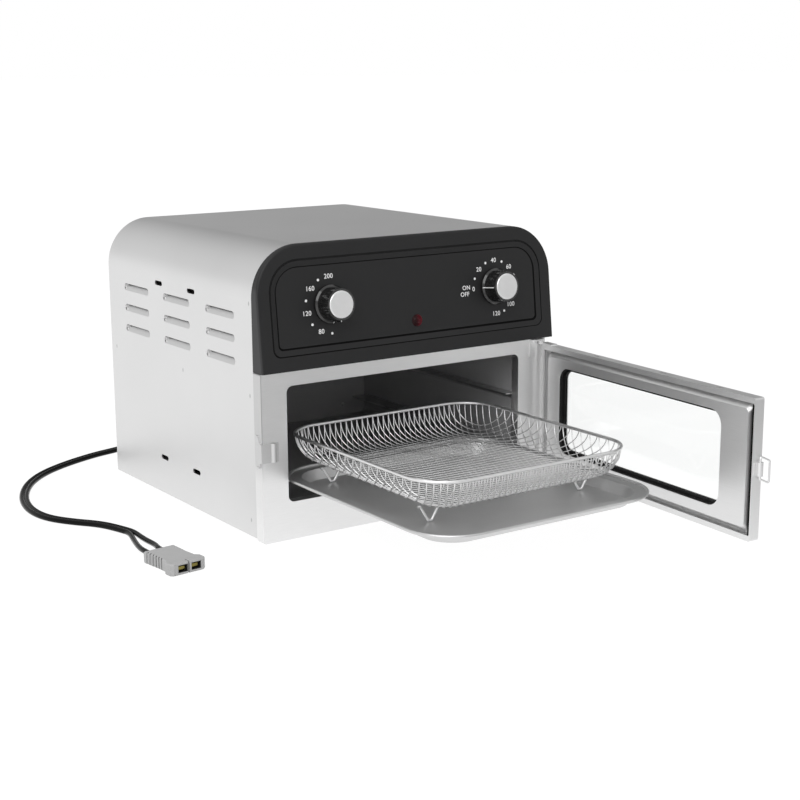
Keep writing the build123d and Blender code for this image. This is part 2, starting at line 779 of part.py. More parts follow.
def build_gasket():
    """A deep channel round the edge of the glass, clamped between the inner panel and the skin."""
    ring_body = door_prism(window_near - gasket_wall, window_far + gasket_wall, window_bottom - gasket_wall,
                           window_top + gasket_wall, thin_sheet / 2 + weld_gap, door_thickness - thin_sheet,
                           window_radius + gasket_wall)
    ring_body -= door_prism(window_near + gasket_step, window_far - gasket_step, window_bottom + gasket_step,
                            window_top - gasket_step, 0, glass_n - gasket_cover, window_radius - gasket_step)
    ring_body -= door_prism(window_near + gasket_lip, window_far - gasket_lip, window_bottom + gasket_lip,
                            window_top - gasket_lip, 0, door_thickness, window_radius - gasket_lip)
    groove = door_prism(window_near, window_far, window_bottom, window_top, glass_n, glass_n + glass_thickness,
                        window_radius)
    return swung(ring_body - groove)


def build_glass():
    return swung(door_prism(window_near, window_far, window_bottom, window_top, glass_n, glass_n + glass_thickness,
                            window_radius))


def build_knuckles():
    """Two knuckles that turn on the pins, each on a leaf along the door's inner corner."""
    pieces = []
    for side, edge in ((1, door_top), (-1, door_bottom)):
        low, high = sorted((edge, edge + side * (door_air + knuckle_length)))
        barrel = Pos(hinge_x, hinge_y, (low + high) / 2) * Cylinder(knuckle_radius, high - low)
        leaf_low, leaf_high = sorted((edge, edge + side * 1.2))
        leaf = block(hinge_x - 16, hinge_x, hinge_y - door_thickness + 2, hinge_y, leaf_low, leaf_high)
        bore = Pos(hinge_x, hinge_y, edge + side * (door_air + knuckle_length / 2 + 0.15)) * Cylinder(
            pin_radius + running_gap, knuckle_length + 0.5)
        pieces.append(barrel + leaf - bore)
    return swung(bundle(pieces))


save("door_skin", build_door_skin())
save("door_inner_panel", build_inner_panel())
save("window_gasket", build_gasket())
save("window_glass", build_glass())
save("door_knuckles", build_knuckles())

# Bail latch on the door's free edge

bail_u = door_width + 2.6
bail_n = 6.0
bail_gap = 0.05
bail_bend = 1.45


def build_keeper():
    barrel = Pos(hinge_x - bail_u, hinge_y - bail_n, (keeper_bottom + keeper_top) / 2) * Cylinder(
        2.6, keeper_top - keeper_bottom)
    foot = block(hinge_x - door_width - 1.5, hinge_x - door_width, hinge_y - door_thickness + 1, hinge_y - 1.0,
                 keeper_bottom, keeper_top)
    bore = Pos(hinge_x - bail_u, hinge_y - bail_n, (keeper_bottom + keeper_top) / 2) * Cylinder(
        bail_wire + bail_gap, keeper_top - keeper_bottom + 2)
    return swung(barrel + foot - bore)


def build_bail():
    """A wire loop whose two ends turn into the keeper's barrel."""
    upper, lower = bail_high - bail_wire, bail_low + bail_wire
    out = bail_wire - bail_reach
    path = FilletPolyline((0, upper - bail_tail), (0, upper), (out, bail_tip_high), (out, bail_tip_low),
                          (0, lower), (0, lower + bail_tail), radius=bail_bend)
    local = Plane(origin=(hinge_x - bail_u, hinge_y - bail_n, 0), x_dir=(0, 1, 0), z_dir=(1, 0, 0))
    placed = local * path
    start = placed @ 0
    wire = sweep(Plane(origin=start, z_dir=placed % 0) * Circle(bail_wire), placed)
    return swung(wire)


save("latch_keeper", build_keeper())
save("latch_bail", build_bail())

# Drip tray

tray_back = tray_front + tray_depth


def tray_outline(inset, z):
    face = RectangleRounded(tray_width - 2 * inset, tray_depth - 2 * inset, tray_corner - inset)
    return Pos(tray_middle, (tray_front + tray_back) / 2, z) * face


def build_tray():
    bead_z = tray_rim + tray_bead
    rim = extrude(tray_outline(tray_bead, tray_rim), tray_sheet)
    bowl = loft([tray_outline(tray_rim_width + tray_draft, tray_floor),
                 tray_outline(tray_rim_width, tray_rim + tray_sheet)])
    hollow = loft([tray_outline(tray_rim_width + tray_draft + tray_sheet, tray_floor + tray_sheet),
                   tray_outline(tray_rim_width + tray_sheet, tray_rim + tray_sheet + 0.01)])
    body = rim + bowl - hollow
    path = tray_outline(tray_bead, bead_z).edges()
    start = path.sort_by(Axis.Y)[0]
    wire = Wire(path)
    bead = sweep(Plane(origin=wire @ 0, z_dir=wire % 0) * Circle(tray_bead), wire)
    return body + bead


save("drip_tray", build_tray())

# Wire basket: a rim, a bowl of crossed wires and four bent feet

basket_x = tray_left + basket_left_step + basket_width / 2
foot_spread_x = basket_width / 2 - foot_inset_x
foot_spread_y = basket_depth / 2 - foot_inset_y
basket_y = basket_front + basket_depth / 2
rim_half_x = basket_width / 2 - rim_wire
rim_half_y = basket_depth / 2 - rim_wire
mesh_layers = {1: basket_floor_z, -1: basket_floor_z + 1.5 * mesh_wire}
wall_steps = 3


def build_basket_rim():
    face = Pos(basket_x, basket_y, basket_rim_z) * RectangleRounded(
        2 * rim_half_x, 2 * rim_half_y, basket_corner - rim_wire)
    wire = Wire(face.edges())
    return sweep(Plane(origin=wire @ 0, z_dir=wire % 0) * Circle(rim_wire), wire)


def reach_along(offset_value, direction, half_x, half_y, corner):
    """Where a diagonal line at this offset leaves a rounded rectangle: the two distances along it."""
    unit = math.sqrt(0.5)
    line_x = (-direction * unit * offset_value, unit)
    line_y = (unit * offset_value, direction * unit)

    def inside(s):
        x = abs(line_x[0] + line_x[1] * s)
        y = abs(line_y[0] + line_y[1] * s)
        if x > half_x or y > half_y:
            return False
        cx = x - (half_x - corner)
        cy = y - (half_y - corner)
        return not (cx > 0 and cy > 0 and math.hypot(cx, cy) > corner)

    middle = None
    for k in range(-60, 61):
        if inside(k * 3.0):
            middle = k * 3.0
            break
    if middle is None:
        return None
    ends = []
    for sign in (-1, 1):
        low = middle
        high = middle + sign * 500
        if sign > 0:
            low = max(k * 3.0 for k in range(-60, 61) if inside(k * 3.0))
            high = low + 500
        for _ in range(40):
            test = (low + high) / 2
            if inside(test):
                low = test
            else:
                high = test
        ends.append(low)
    return ends


def wire_strip(points, thickness, level_start=False):
    """A square wire along points (distance, height) in its own upright plane; a level start is cut plumb."""
    upper = []
    lower = []
    for k, (s, z) in enumerate(points):
        before = points[max(k - 1, 0)]
        after = points[min(k + 1, len(points) - 1)]
        ds, dz = after[0] - before[0], after[1] - before[1]
        size = math.hypot(ds, dz)
        ns, nz = -dz / size, ds / size
        if level_start and k == 0:
            ns, nz = 0.0, math.copysign(1.0, nz)
        upper.append((s + ns * thickness / 2, z + nz * thickness / 2))
        lower.append((s - ns * thickness / 2, z - nz * thickness / 2))
    return make_face(Polyline(*upper, *reversed(lower), close=True))


def build_mesh():
    """Diagonal wires both ways: flat floor runs, and ends that curve up to the rim on each of four sides."""
    groups = {"basket_floor_mesh": [], "basket_front_mesh": [], "basket_back_mesh": [], "basket_left_mesh": [],
              "basket_right_mesh": []}
    top = basket_rim_z - rim_wire - 0.3
    span = (rim_half_x + rim_half_y) * math.sqrt(0.5)
    count = int(span / mesh_pitch)
    for direction, floor_z in mesh_layers.items():
        for n in range(-count, count + 1):
            shift = (n + 0.25 * direction) * mesh_pitch
            rim_ends = reach_along(shift, direction, rim_half_x, rim_half_y, basket_corner - rim_wire)
            floor_ends = reach_along(shift, direction, rim_half_x - basket_inset, rim_half_y - basket_inset,
                                     basket_corner - rim_wire - basket_inset / 2)
            if rim_ends is None or rim_ends[1] - rim_ends[0] < 60 or floor_ends is None:
                continue
            unit = math.sqrt(0.5)
            along = Plane(origin=(basket_x - direction * unit * shift, basket_y + unit * shift, 0),
                          x_dir=(unit, direction * unit, 0), z_dir=(direction * unit, -unit, 0))
            flat = wire_strip([(floor_ends[0], floor_z), (floor_ends[1], floor_z)], mesh_wire)
            groups["basket_floor_mesh"].append(extrude(along * flat, mesh_wire / 2, both=True))
            for end, sign in ((0, -1), (1, 1)):
                start_s, end_s = floor_ends[end], rim_ends[end]
                points = []
                for k in range(wall_steps + 1):
                    angle = math.pi / 2 * k / wall_steps
                    points.append((start_s + (end_s - start_s) * math.sin(angle),
                                   floor_z + (top - floor_z) * (1 - math.cos(angle))))
                strip = extrude(along * wire_strip(points, mesh_wire, True), mesh_wire / 2, both=True)
                x = -direction * unit * shift + unit * end_s
                y = unit * shift + direction * unit * end_s
                if abs(y) - rim_half_y > abs(x) - rim_half_x:
                    side = "basket_back_mesh" if y > 0 else "basket_front_mesh"
                else:
                    side = "basket_right_mesh" if x > 0 else "basket_left_mesh"
                groups[side].append(strip)
    return groups


def build_basket_feet():
    feet = []
    top = basket_floor_z - mesh_wire / 2 - foot_wire - 0.1
    bottom = tray_floor + tray_sheet + 0.3 + foot_wire
    for sx in (-1, 1):
        for sy in (-1, 1):
            path = FilletPolyline((-foot_half - foot_tab, 0, top), (-foot_half, 0, top), (-foot_point, 0, bottom),
                                  (foot_point, 0, bottom), (foot_half, 0, top), (foot_half + foot_tab, 0, top),
                                  radius=foot_bend)
            foot = sweep(Plane(origin=path @ 0, z_dir=path % 0) * Circle(foot_wire), path)
            feet.append(Pos(basket_x + sx * foot_spread_x, basket_y + sy * foot_spread_y, 0) * foot)
    return bundle(feet)


save("basket_rim", build_basket_rim())
for name, wires in build_mesh().items():
    save(name, bundle(wires))
save("basket_feet", build_basket_feet())

# Mains lead: a gland, a flat twin lead, its two split cores and a two-way connector

cord_rest = cord_thickness / 2
main_route = [(gland_x, rear_y + gland_reach, gland_z), (gland_x, 173.0, gland_z), (gland_x, 190.0, cord_rest),
              (gland_x, 213.0, cord_rest), (-60.0, 233.4, cord_rest), (-83.5, 241.5, cord_rest),
              (-107.0, 236.0, cord_rest), (-130.0, 228.6, cord_rest), (-153.0, 223.0, cord_rest),
              (-180.0, 212.0, cord_rest), (-207.0, 198.0, cord_rest), (-234.0, 179.0, cord_rest),
              (-258.0, 152.0, cord_rest), (-276.0, 120.0, cord_rest), (-288.0, 87.0, cord_rest),
              (-293.0, 54.0, cord_rest), (-289.0, 25.0, cord_rest), (-275.0, 1.0, cord_rest),
              (-258.5, -19.0, cord_rest), (-250.2, -38.5, cord_rest), (-245.8, -55.5, cord_rest)]

connector_corner = (-270.5, -141.4)
connector_turn = -84.3
connector_length = 47.5
connector_width = 29.8
connector_height = 10.6
connector_plane = Plane(origin=(*connector_corner, 0),
                        x_dir=(math.cos(math.radians(connector_turn)), math.sin(math.radians(connector_turn)), 0),
                        z_dir=(0, 0, 1))
core_entries = {"left": 9.2, "right": connector_width - 7.6}


def core_end(side):
    """Where a core meets the connector's back face, and a point one diameter before it."""
    end = connector_plane.from_local_coords(Vector(0, core_entries[side], connector_height / 2))
    before = connector_plane.from_local_coords(Vector(-cord_tab, core_entries[side], connector_height / 2))
    return tuple(before), tuple(end)


split_run = (Vector(*main_route[-1]) - Vector(*main_route[-2])).normalized()
split_across = Vector(-split_run.Y, split_run.X, 0)


def split_start(side):
    """Where a core leaves the flat lead, and a point straight on from there."""
    sign = 1 if side == "right" else -1
    start = Vector(*main_route[-1]) + split_across * (sign * cord_rest)
    return tuple(start), tuple(start + split_run * (cord_tab - 1))


core_middles = {"left": [(-249.5, -86.5, 2.6), (-259.0, -107.5, 4.0)],
                "right": [(-240.6, -86.5, 2.6), (-245.6, -107.5, 4.0)]}


def route_radii(points, share=0.45):
    radii = []
    for a, b, c in zip(points, points[1:], points[2:]):
        into = Vector(*b) - Vector(*a)
        out = Vector(*c) - Vector(*b)
        half_turn = math.radians(into.get_angle(out)) / 2
        radii.append(share * min(into.length, out.length) / math.tan(half_turn))
    return radii


def run_cord(name, points, section, across, area):
    radii = route_radii(points)
    path = FilletPolyline(*points, radius=radii)
    lead = sweep(Plane(origin=points[0], x_dir=across, z_dir=path % 0) * section, path)
    print(name, "length", round(path.length, 1), "volume share", round(lead.volume / (area * path.length), 4),
          "radii", [round(r) for r in radii])
    save(name, lead)


flat_area = cord_thickness * (cord_width - cord_thickness) + math.pi * cord_rest ** 2
core_area = math.pi * cord_rest ** 2
run_cord("cord_main", main_route, SlotOverall(cord_width, cord_thickness), (1, 0, 0), flat_area)
for side, middles in core_middles.items():
    route = [*split_start(side), *middles, *core_end(side)]
    run_cord(f"cord_core_{side}", route, Circle(cord_rest), split_across, core_area)


def build_gland():
    """A moulded bush in the back panel: neck, flange and a tail that tapers to the lead."""
    panel_face = rear_y - sheet
    neck = extrude(upright(panel_face) * Pos(gland_x, gland_z) * Circle(gland_radius), 4)
    flange = extrude(upright(panel_face) * Pos(gland_x, gland_z) * Circle(gland_flange), -3)
    tail = loft([upright(panel_face + 3) * Pos(gland_x, gland_z) * Circle(gland_flange - 1.2),
                 upright(rear_y + gland_reach) * Pos(gland_x, gland_z) * Ellipse(5.2, 3.4)])
    return neck + flange + tail


port_length = 14.0
port_width = 9.5
port_height = 6.6
groove_count = 6
groove_start = 5.0
groove_pitch = 4.3
groove_radius = 1.35
groove_in = 0.3
notch_length = 12.0
notch_width = 1.6


def build_connector():
    """The connector's housing: a waisted block with ribbed sides, flared ears and two ports in its front."""
    waist = 1.0
    ear = 2.6
    length, width = connector_length, connector_width
    outline = [(0, 0), (length * 0.2, 0.3), (length * 0.45, waist), (length * 0.72, 0.6), (length * 0.8, -ear),
               (length * 0.94, -ear), (length, 0)]
    other = [(x, width - y) for x, y in reversed(outline)]
    block_solid = extrude(make_face(Polyline(*outline, *other, close=True)), connector_height)
    block_solid = chamfer(block_solid.edges().filter_by(Plane.XY), 0.9)
    for n in range(groove_count):
        x = groove_start + groove_pitch * n
        for y in (groove_in, width - groove_in):
            block_solid -= Pos(x, y, connector_height / 2) * Cylinder(groove_radius, connector_height + 1)
    block_solid -= Pos(length, width / 2, connector_height / 2) * Box(notch_length, notch_width, connector_height + 1)
    for y in core_entries.values():
        block_solid -= Pos(length - port_length / 2 + 0.5, y, connector_height / 2) * Box(
            port_length + 1, port_width, port_height)
    return connector_plane * block_solid


def build_contacts():
    """Two hooked flat blades, one standing in each port."""
    blades_made = []
    for y in core_entries.values():
        blade = Pos(connector_length - port_length + 5.5, y, connector_height / 2 - 0.6) * Box(11, 6, 1.6)
        nose = Pos(connector_length - port_length + 10, y, connector_height / 2 + 0.5) * Box(2, 6, 1.4)
        blades_made.append(connector_plane * (blade + nose))
    return bundle(blades_made)


save("cord_gland", build_gland())
save("connector_housing", build_connector())
save("connector_contacts", build_contacts())
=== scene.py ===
import math

import bpy
import numpy as np
from bpy.props import FloatProperty, FloatVectorProperty, IntProperty, PointerProperty
from mathutils import Matrix, Vector


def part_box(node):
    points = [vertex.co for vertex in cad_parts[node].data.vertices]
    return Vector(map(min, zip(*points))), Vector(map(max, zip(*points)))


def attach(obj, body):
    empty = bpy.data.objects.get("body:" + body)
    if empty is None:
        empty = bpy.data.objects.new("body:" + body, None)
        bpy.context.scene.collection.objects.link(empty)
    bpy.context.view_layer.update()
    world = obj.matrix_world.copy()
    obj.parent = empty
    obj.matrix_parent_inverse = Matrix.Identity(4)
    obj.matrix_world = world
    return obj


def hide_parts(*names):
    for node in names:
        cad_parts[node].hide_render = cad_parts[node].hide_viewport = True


bl_info = {
    "name": "Countertop air fryer oven",
    "version": (1, 0, 0),
    "blender": (4, 5, 0),
    "location": "3D View > Sidebar > Oven",
    "description": "Dresses the packed oven: finishes, wire basket, dial marks, mains lead and a plain studio",
    "category": "Object",
}

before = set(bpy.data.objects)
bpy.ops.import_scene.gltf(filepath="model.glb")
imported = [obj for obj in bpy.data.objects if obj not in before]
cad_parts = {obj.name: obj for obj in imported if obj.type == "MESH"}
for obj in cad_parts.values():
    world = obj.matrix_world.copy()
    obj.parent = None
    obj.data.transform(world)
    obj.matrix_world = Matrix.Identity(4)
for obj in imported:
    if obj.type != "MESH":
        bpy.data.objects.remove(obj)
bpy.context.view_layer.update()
MM = 0.001

# Where the oven's body stands: its own middle is this far from the part's origin.
BODY_MIDDLE = Vector((0.001, 0.1579191, 0.0))
HALF_WIDTH = 0.163

# Raked face of the control panel
PANEL_FOOT = Vector((0.0, -0.1635, 0.1543))
PANEL_RAKE = math.atan(11.5 / 109.2)
FIELD_DEPTH = 0.0015
FIELD_MARGIN = 0.012
FIELD_LOW, FIELD_HIGH = 0.166, 0.2512
FIELD_RADII = (0.030, 0.008)
OUTER_GROOVE, INNER_GROOVE = 0.00125, 0.0075
DIALS = {"temperature": -0.0886, "timer": 0.0958}
DIAL_HEIGHT = 0.2088
CAP_HEIGHT = 0.018
CAP_RIM = 0.0116
LENS_SPOT = (0.0036, 0.1854)

# Small round marks on both sides of the wrapper: y about the body's middle, and height
SIDE_MARKS = [(-0.1425, 0.2141), (-0.1407, 0.1323), (-0.1373, 0.0184), (0.1354, 0.1359), (-0.0122, 0.1348)]

# Hinge line of the door, and how far the door stands open
HINGE = Vector((0.1485, -0.1625, 0.0))
DOOR_TURN = math.radians(86.2)


def placed(x, y, z):
    """A point given about the body's middle, as a point of the part."""
    return BODY_MIDDLE + Vector((x, y, z))


def panel_place(x, slope, out=0.0):
    """The turn and place of a spot on the sunk panel: x to the right, slope up the face, out of it last."""
    right = Vector((1, 0, 0))
    out_dir = Vector((0, -math.cos(PANEL_RAKE), math.sin(PANEL_RAKE)))
    up = out_dir.cross(right)
    spot = BODY_MIDDLE + PANEL_FOOT + right * x + up * slope + out_dir * (out - FIELD_DEPTH)
    turn = Matrix((right, up, out_dir)).transposed().to_4x4()
    return Matrix.Translation(spot) @ turn


def slope_at(z):
    return (z - PANEL_FOOT.z) / math.cos(PANEL_RAKE)


MARK_SLOPE = slope_at(DIAL_HEIGHT) - 0.0007


def on_panel(points):
    """Points given as across, up the slope and out of the raked face, as an array, brought to the part's frame."""
    place = np.array(panel_place(0.0, 0.0, FIELD_DEPTH))
    return points @ place[:3, :3].T + place[:3, 3]


def on_door(along, out, up):
    """Points of the open door: away from the hinge line, out from its inner face, and up."""
    hinge = BODY_MIDDLE + HINGE
    x = hinge.x - math.cos(DOOR_TURN) * along + math.sin(DOOR_TURN) * out
    y = hinge.y - math.sin(DOOR_TURN) * along - math.cos(DOOR_TURN) * out
    return np.stack([x, y, np.broadcast_to(up, x.shape)], axis=-1)


# The camera that took the photograph, solved from it: place about the body's middle, lens, and its turns
CAMERA_SPOT = (-0.80022797, -1.29414291, 0.41657338)
CAMERA_LENS = 69.0047
CAMERA_AZIMUTH, CAMERA_ELEVATION, CAMERA_ROLL = 0.604463669, 0.216619003, -0.00520162


# Shader arithmetic


class Level:
    """A number on its way through a material. Arithmetic on it adds Math nodes."""

    def __init__(self, shades, socket):
        self.shades = shades
        self.socket = socket

    def __add__(self, other):
        return self.shades.maths("ADD", self, other)

    __radd__ = __add__

    def __sub__(self, other):
        return self.shades.maths("SUBTRACT", self, other)

    def __rsub__(self, other):
        return self.shades.maths("SUBTRACT", other, self)

    def __mul__(self, other):
        return self.shades.maths("MULTIPLY", self, other)

    __rmul__ = __mul__

    def wave(self):
        return self.shades.maths("SINE", self)

    def cosine(self):
        return self.shades.maths("COSINE", self)

    def size(self):
        return self.shades.maths("ABSOLUTE", self)

    def held(self):
        """The number kept between 0 and 1."""
        return self.shades.maths("ADD", self, 0.0, clamp=True)

    def between(self, low, high):
        """0 below low, 1 above high, and a smooth step from one to the other."""
        sockets = {"Value": self, "From Min": low, "From Max": high}
        node = self.shades.node("ShaderNodeMapRange", {"interpolation_type": "SMOOTHSTEP"}, sockets)
        return Level(self.shades, node.outputs["Result"])


class Shades:
    """A material or a world under construction."""

    def __init__(self, owner):
        owner.use_nodes = True
        self.owner = owner
        self.tree = owner.node_tree
        self.tree.nodes.clear()

    def node(self, kind, settings=None, sockets=None):
        """Adds a node: its settings first, then a value or a link for each socket."""
        made = self.tree.nodes.new(kind)
        for key, value in (settings or {}).items():
            setattr(made, key, value)
        for key, value in (sockets or {}).items():
            socket = made.inputs[key]
            if isinstance(value, Level):
                value = value.socket
            if isinstance(value, bpy.types.NodeSocket):
                self.tree.links.new(value, socket)
            else:
                socket.default_value = value
        return made

    def maths(self, operation, a, b=0.0, clamp=False):
        made = self.node("ShaderNodeMath", {"operation": operation, "use_clamp": clamp}, {0: a, 1: b})
        return Level(self, made.outputs[0])

    def place(self, scale=(1, 1, 1), turn=(0, 0, 0)):
        """Object coordinates in metres, stretched and turned."""
        coords = self.node("ShaderNodeTexCoord").outputs["Object"]
        made = self.node("ShaderNodeMapping", {}, {"Vector": coords, "Rotation": turn, "Scale": scale})
        return made.outputs["Vector"]

    def axis(self, vector, letter):
        made = self.node("ShaderNodeSeparateXYZ", {}, {0: vector})
        return Level(self, made.outputs["XYZ".index(letter)])

    def noise(self, vector, scale, detail=2.0, roughness=0.5):
        made = self.node(
            "ShaderNodeTexNoise", {}, {"Vector": vector, "Scale": scale, "Detail": detail, "Roughness": roughness}
        )
        return Level(self, made.outputs["Fac"])

    def cells(self, vector, scale):
        """Flat cells, each with a level of its own."""
        made = self.node("ShaderNodeTexVoronoi", {}, {"Vector": vector, "Scale": scale})
        return self.axis(made.outputs["Color"], "X")

    def away(self, vector, centre):
        """Distance from a point, in the vector's own units."""
        made = self.node("ShaderNodeVectorMath", {"operation": "DISTANCE"}, {0: vector, 1: centre})
        return Level(self, made.outputs["Value"])

    def mix(self, amount, first, second):
        """A colour between two colours."""
        made = self.node(
            "ShaderNodeMix",
            {"data_type": "RGBA"},
            {
                "Factor": amount,
                6: (*first, 1.0) if isinstance(first, tuple) else first,
                7: (*second, 1.0) if isinstance(second, tuple) else second,
            },
        )
        return made.outputs[2]

    def bump(self, height, strength, distance):
        made = self.node("ShaderNodeBump", {}, {"Height": height, "Strength": strength, "Distance": distance})
        return made.outputs["Normal"]

    def finish(self, **sockets):
        """Closes the material with its shader, and gives it back."""
        names = {name.replace("_", " "): value for name, value in sockets.items()}
        shader = self.node("ShaderNodeBsdfPrincipled", {}, names)
        self.node("ShaderNodeOutputMaterial", {}, {"Surface": shader.outputs[0]})
        return self.owner


def grey(level):
    return (level, level, level)


def shaded(level, share):
    """The same grey, lighter by a share."""
    return (min(level * share, 1.0),) * 3


def new_material(name):
    return Shades(bpy.data.materials.new(name))


def off_flank(s, where):
    """0 on the body's left flank, 1 from just inside it."""
    flank = BODY_MIDDLE.x - HALF_WIDTH
    return s.axis(where, "X").between(flank + 0.4 * MM, flank + 1.4 * MM)


def two_tone(name, colours, slow, fine, roughness, bump, **fixed):
    """A finish whose colour and roughness drift with a slow noise, under a bump of fine noise.

    Slow and fine each give the noise's scale and detail. Roughness is its level, then the slow and the fine share."""
    s = new_material(name)
    where = s.place()
    drift, grain = s.noise(where, *slow), s.noise(where, *fine)
    level, by_drift, by_grain = roughness
    return s.finish(
        Base_Color=s.mix(drift, *colours),
        Roughness=level + by_drift * drift + by_grain * grain,
        Normal=s.bump(grain, *bump),
        **fixed,
    )


# Finishes


def satin_silver(look):
    """Silver sheet: a satin metal with a fine even grain, faint broad unevenness and small round marks on its sides."""
    s = new_material("satin_silver_sheet")
    where = s.place()
    grain = s.noise(where, 2600, 2.0)
    cloud = s.noise(where, 9, 3.0)
    level = look.silver[0]
    # Seen from the side, a mark is a disc drawn out up the sheet
    upright = 0.55
    flat = s.place(scale=(0, 1, upright))
    marks = 0.0
    for y, z in SIDE_MARKS:
        spot = (0.0, BODY_MIDDLE.y + y, upright * z)
        marks = marks + (1.0 - s.away(flat, spot).between(0.7 * MM, 1.4 * MM))
    silver = s.mix(cloud, shaded(level, 0.96), shaded(level, 1.04))
    return s.finish(
        Base_Color=s.mix(marks * 0.5, silver, shaded(level, 0.35)),
        Metallic=0.92,
        Roughness=0.34 + 0.05 * grain + 0.05 * cloud,
        Normal=s.bump(grain * 0.4 - marks, 0.12, 0.0002),
    )


def brushed_steel(name, level, stretch, roughness=0.28, painted_flank_shade=False):
    """Bright steel with fine strokes along one axis: noise that is drawn out along it.

    With painted flank shade, the body's left edge is painted darker towards its top, as shade."""
    s = new_material(name)
    where = s.place()
    strokes = s.noise(s.place(scale=stretch), 1.0, 4.0, 0.65)
    cloud = s.noise(where, 12, 3.0)
    steel = s.mix((strokes * 0.7 + cloud * 0.3).held(), shaded(level, 0.9), shaded(level, 1.08))
    if painted_flank_shade:
        # Painted shade: the left flank darker towards its top
        upper = s.axis(where, "Z").between(0.052, 0.088)
        steel = s.mix((1.0 - off_flank(s, where)) * upper, steel, shaded(level, 0.7))
    return s.finish(
        Base_Color=steel,
        Metallic=1.0,
        Roughness=roughness + 0.1 * strokes + 0.07 * cloud,
        Normal=s.bump(strokes, 0.05, 0.0002),
    )


def plated_sheet(look):
    """Zinc plated sheet: pale crystals of slightly different greys."""
    s = new_material("plated_sheet")
    where = s.place()
    crystals = s.cells(where, 140)
    grain = s.noise(where, 1500, 2.0)
    level = look.plated[0]
    return s.finish(
        Base_Color=s.mix(crystals, shaded(level, 0.82), shaded(level, 1.12)),
        Metallic=0.95,
        Roughness=0.38 + 0.14 * crystals + 0.05 * grain,
        Normal=s.bump(crystals * 0.5 + grain, 0.05, 0.0002),
    )


def satin_moulding(look):
    """Black moulding with the fine leathery grain of a textured tool, and painted light on its left flank."""
    s = new_material("satin_black_moulding")
    where = s.place()
    grain = s.noise(where, 1700, 3.0, 0.6)
    cloud = s.noise(where, 14, 2.0)
    # Painted light: the left flank made lighter
    painted_flank_light = (1.0 - off_flank(s, where)) * 0.9
    black = s.mix(cloud, tuple(look.moulding), tuple(c * 1.25 for c in look.moulding))
    return s.finish(
        Base_Color=s.mix(painted_flank_light, black, tuple(c * 2.8 for c in look.moulding)),
        Roughness=0.44 + 0.1 * grain + 0.04 * cloud,
        Specular_IOR_Level=0.35,
        Normal=s.bump(grain, 0.12, 0.0002),
    )


def gloss_black():
    """Polished black moulding with faint flow marks."""
    return two_tone(
        "gloss_black_moulding", (grey(0.006), grey(0.014)), (60, 2.0), (3000, 2.0), (0.13, 0.08, 0.0),
        (0.02, 0.1 * MM), Coat_Weight=0.5, Coat_Roughness=0.08,
    )


def spun_cap(name, dial, look):
    """A turned metal cap: fine rings about the dial's axis, and a polished bevel round its edge."""
    s = new_material(name)
    centre = panel_place(DIALS[dial], slope_at(DIAL_HEIGHT), CAP_HEIGHT).to_translation()
    where = s.place()
    off = s.away(where, tuple(centre))
    rings = (off * 9000).wave() * 0.5 + 0.5
    cloud = s.noise(where, 180, 2.0)
    level = look.cap[0]
    bevel = off.between(CAP_RIM - 0.2 * MM, CAP_RIM + 0.2 * MM)
    face = s.mix(rings * 0.4 + cloud * 0.6, shaded(level, 0.93), shaded(level, 1.05))
    return s.finish(
        Base_Color=s.mix(bevel, face, shaded(level, 1.3)),
        Metallic=0.45,
        Roughness=0.36 + 0.08 * rings - 0.16 * bevel,
        Normal=s.bump(rings, 0.05, 0.0001),
    )


def red_lens(look):
    """Dark red lamp lens with a faintly ribbed heart, with painted light to the right of its middle and painted shade
    to the left.
    """
    s = new_material("red_lens")
    centre = panel_place(LENS_SPOT[0], slope_at(LENS_SPOT[1]), 0.0).to_translation()
    where = s.place()
    off = s.away(where, tuple(centre))
    ribs = (off * 5200).wave() * 0.5 + 0.5
    # Painted light and shade: a lit copy of the lens colour to the right, a shaded copy to the left
    lit = (s.axis(where, "X") - centre.x).between(-0.0025, 0.0035)
    return s.finish(
        Base_Color=s.mix(lit, tuple(c * 0.35 for c in look.lamp), tuple(min(c * 1.9, 1.0) for c in look.lamp)),
        Roughness=0.3 + 0.06 * ribs,
        Specular_IOR_Level=0.15,
        Coat_Weight=0.1,
        Normal=s.bump(ribs, 0.03, 0.0001),
    )


def grey_enamel(look):
    """The cavity's lining: dark grey coating with fine speckles, and a little browned towards the fan."""
    s = new_material("grey_cavity_coating")
    where = s.place()
    speckle = s.noise(where, 1300, 2.0, 0.7)
    cloud = s.noise(where, 16, 3.0)
    height = s.axis(where, "Z")
    heat = height.between(0.11, 0.15) * cloud
    base = s.mix(speckle, tuple(look.lining), tuple(c * 1.25 for c in look.lining))
    return s.finish(
        Base_Color=s.mix(heat * 0.5, base, (0.09, 0.075, 0.06)),
        Metallic=0.4,
        Roughness=0.42 + 0.12 * speckle + 0.08 * cloud,
        Normal=s.bump(speckle, 0.08, 0.0002),
    )


def wire_metal(name, level, roughness):
    """Plated wire: bright, with faint drawing marks and dull spots where heat has been."""
    return two_tone(
        name, (shaded(level, 0.9), shaded(level, 1.06)), (70, 3.0), (2200, 2.0), (roughness, 0.12, 0.04),
        (0.04, 0.1 * MM), Metallic=1.0,
    )


def tray_finish(look):
    """Pressed grey tray: satin metal with soft baking marks and very fine scratches."""
    s = new_material("satin_tray_sheet")
    where = s.place()
    marks = s.noise(where, 26, 4.0, 0.6)
    scratch = s.noise(s.place(scale=(900, 60, 400), turn=(0, 0, 0.5)), 1.0, 3.0, 0.7)
    level = look.tray[0]
    return s.finish(
        Base_Color=s.mix((marks * 0.6 + scratch * 0.4).held(), shaded(level, 0.85), shaded(level, 1.1)),
        Metallic=0.95,
        Roughness=0.28 + 0.14 * marks + 0.08 * scratch,
        Normal=s.bump(scratch, 0.04, 0.0002),
    )


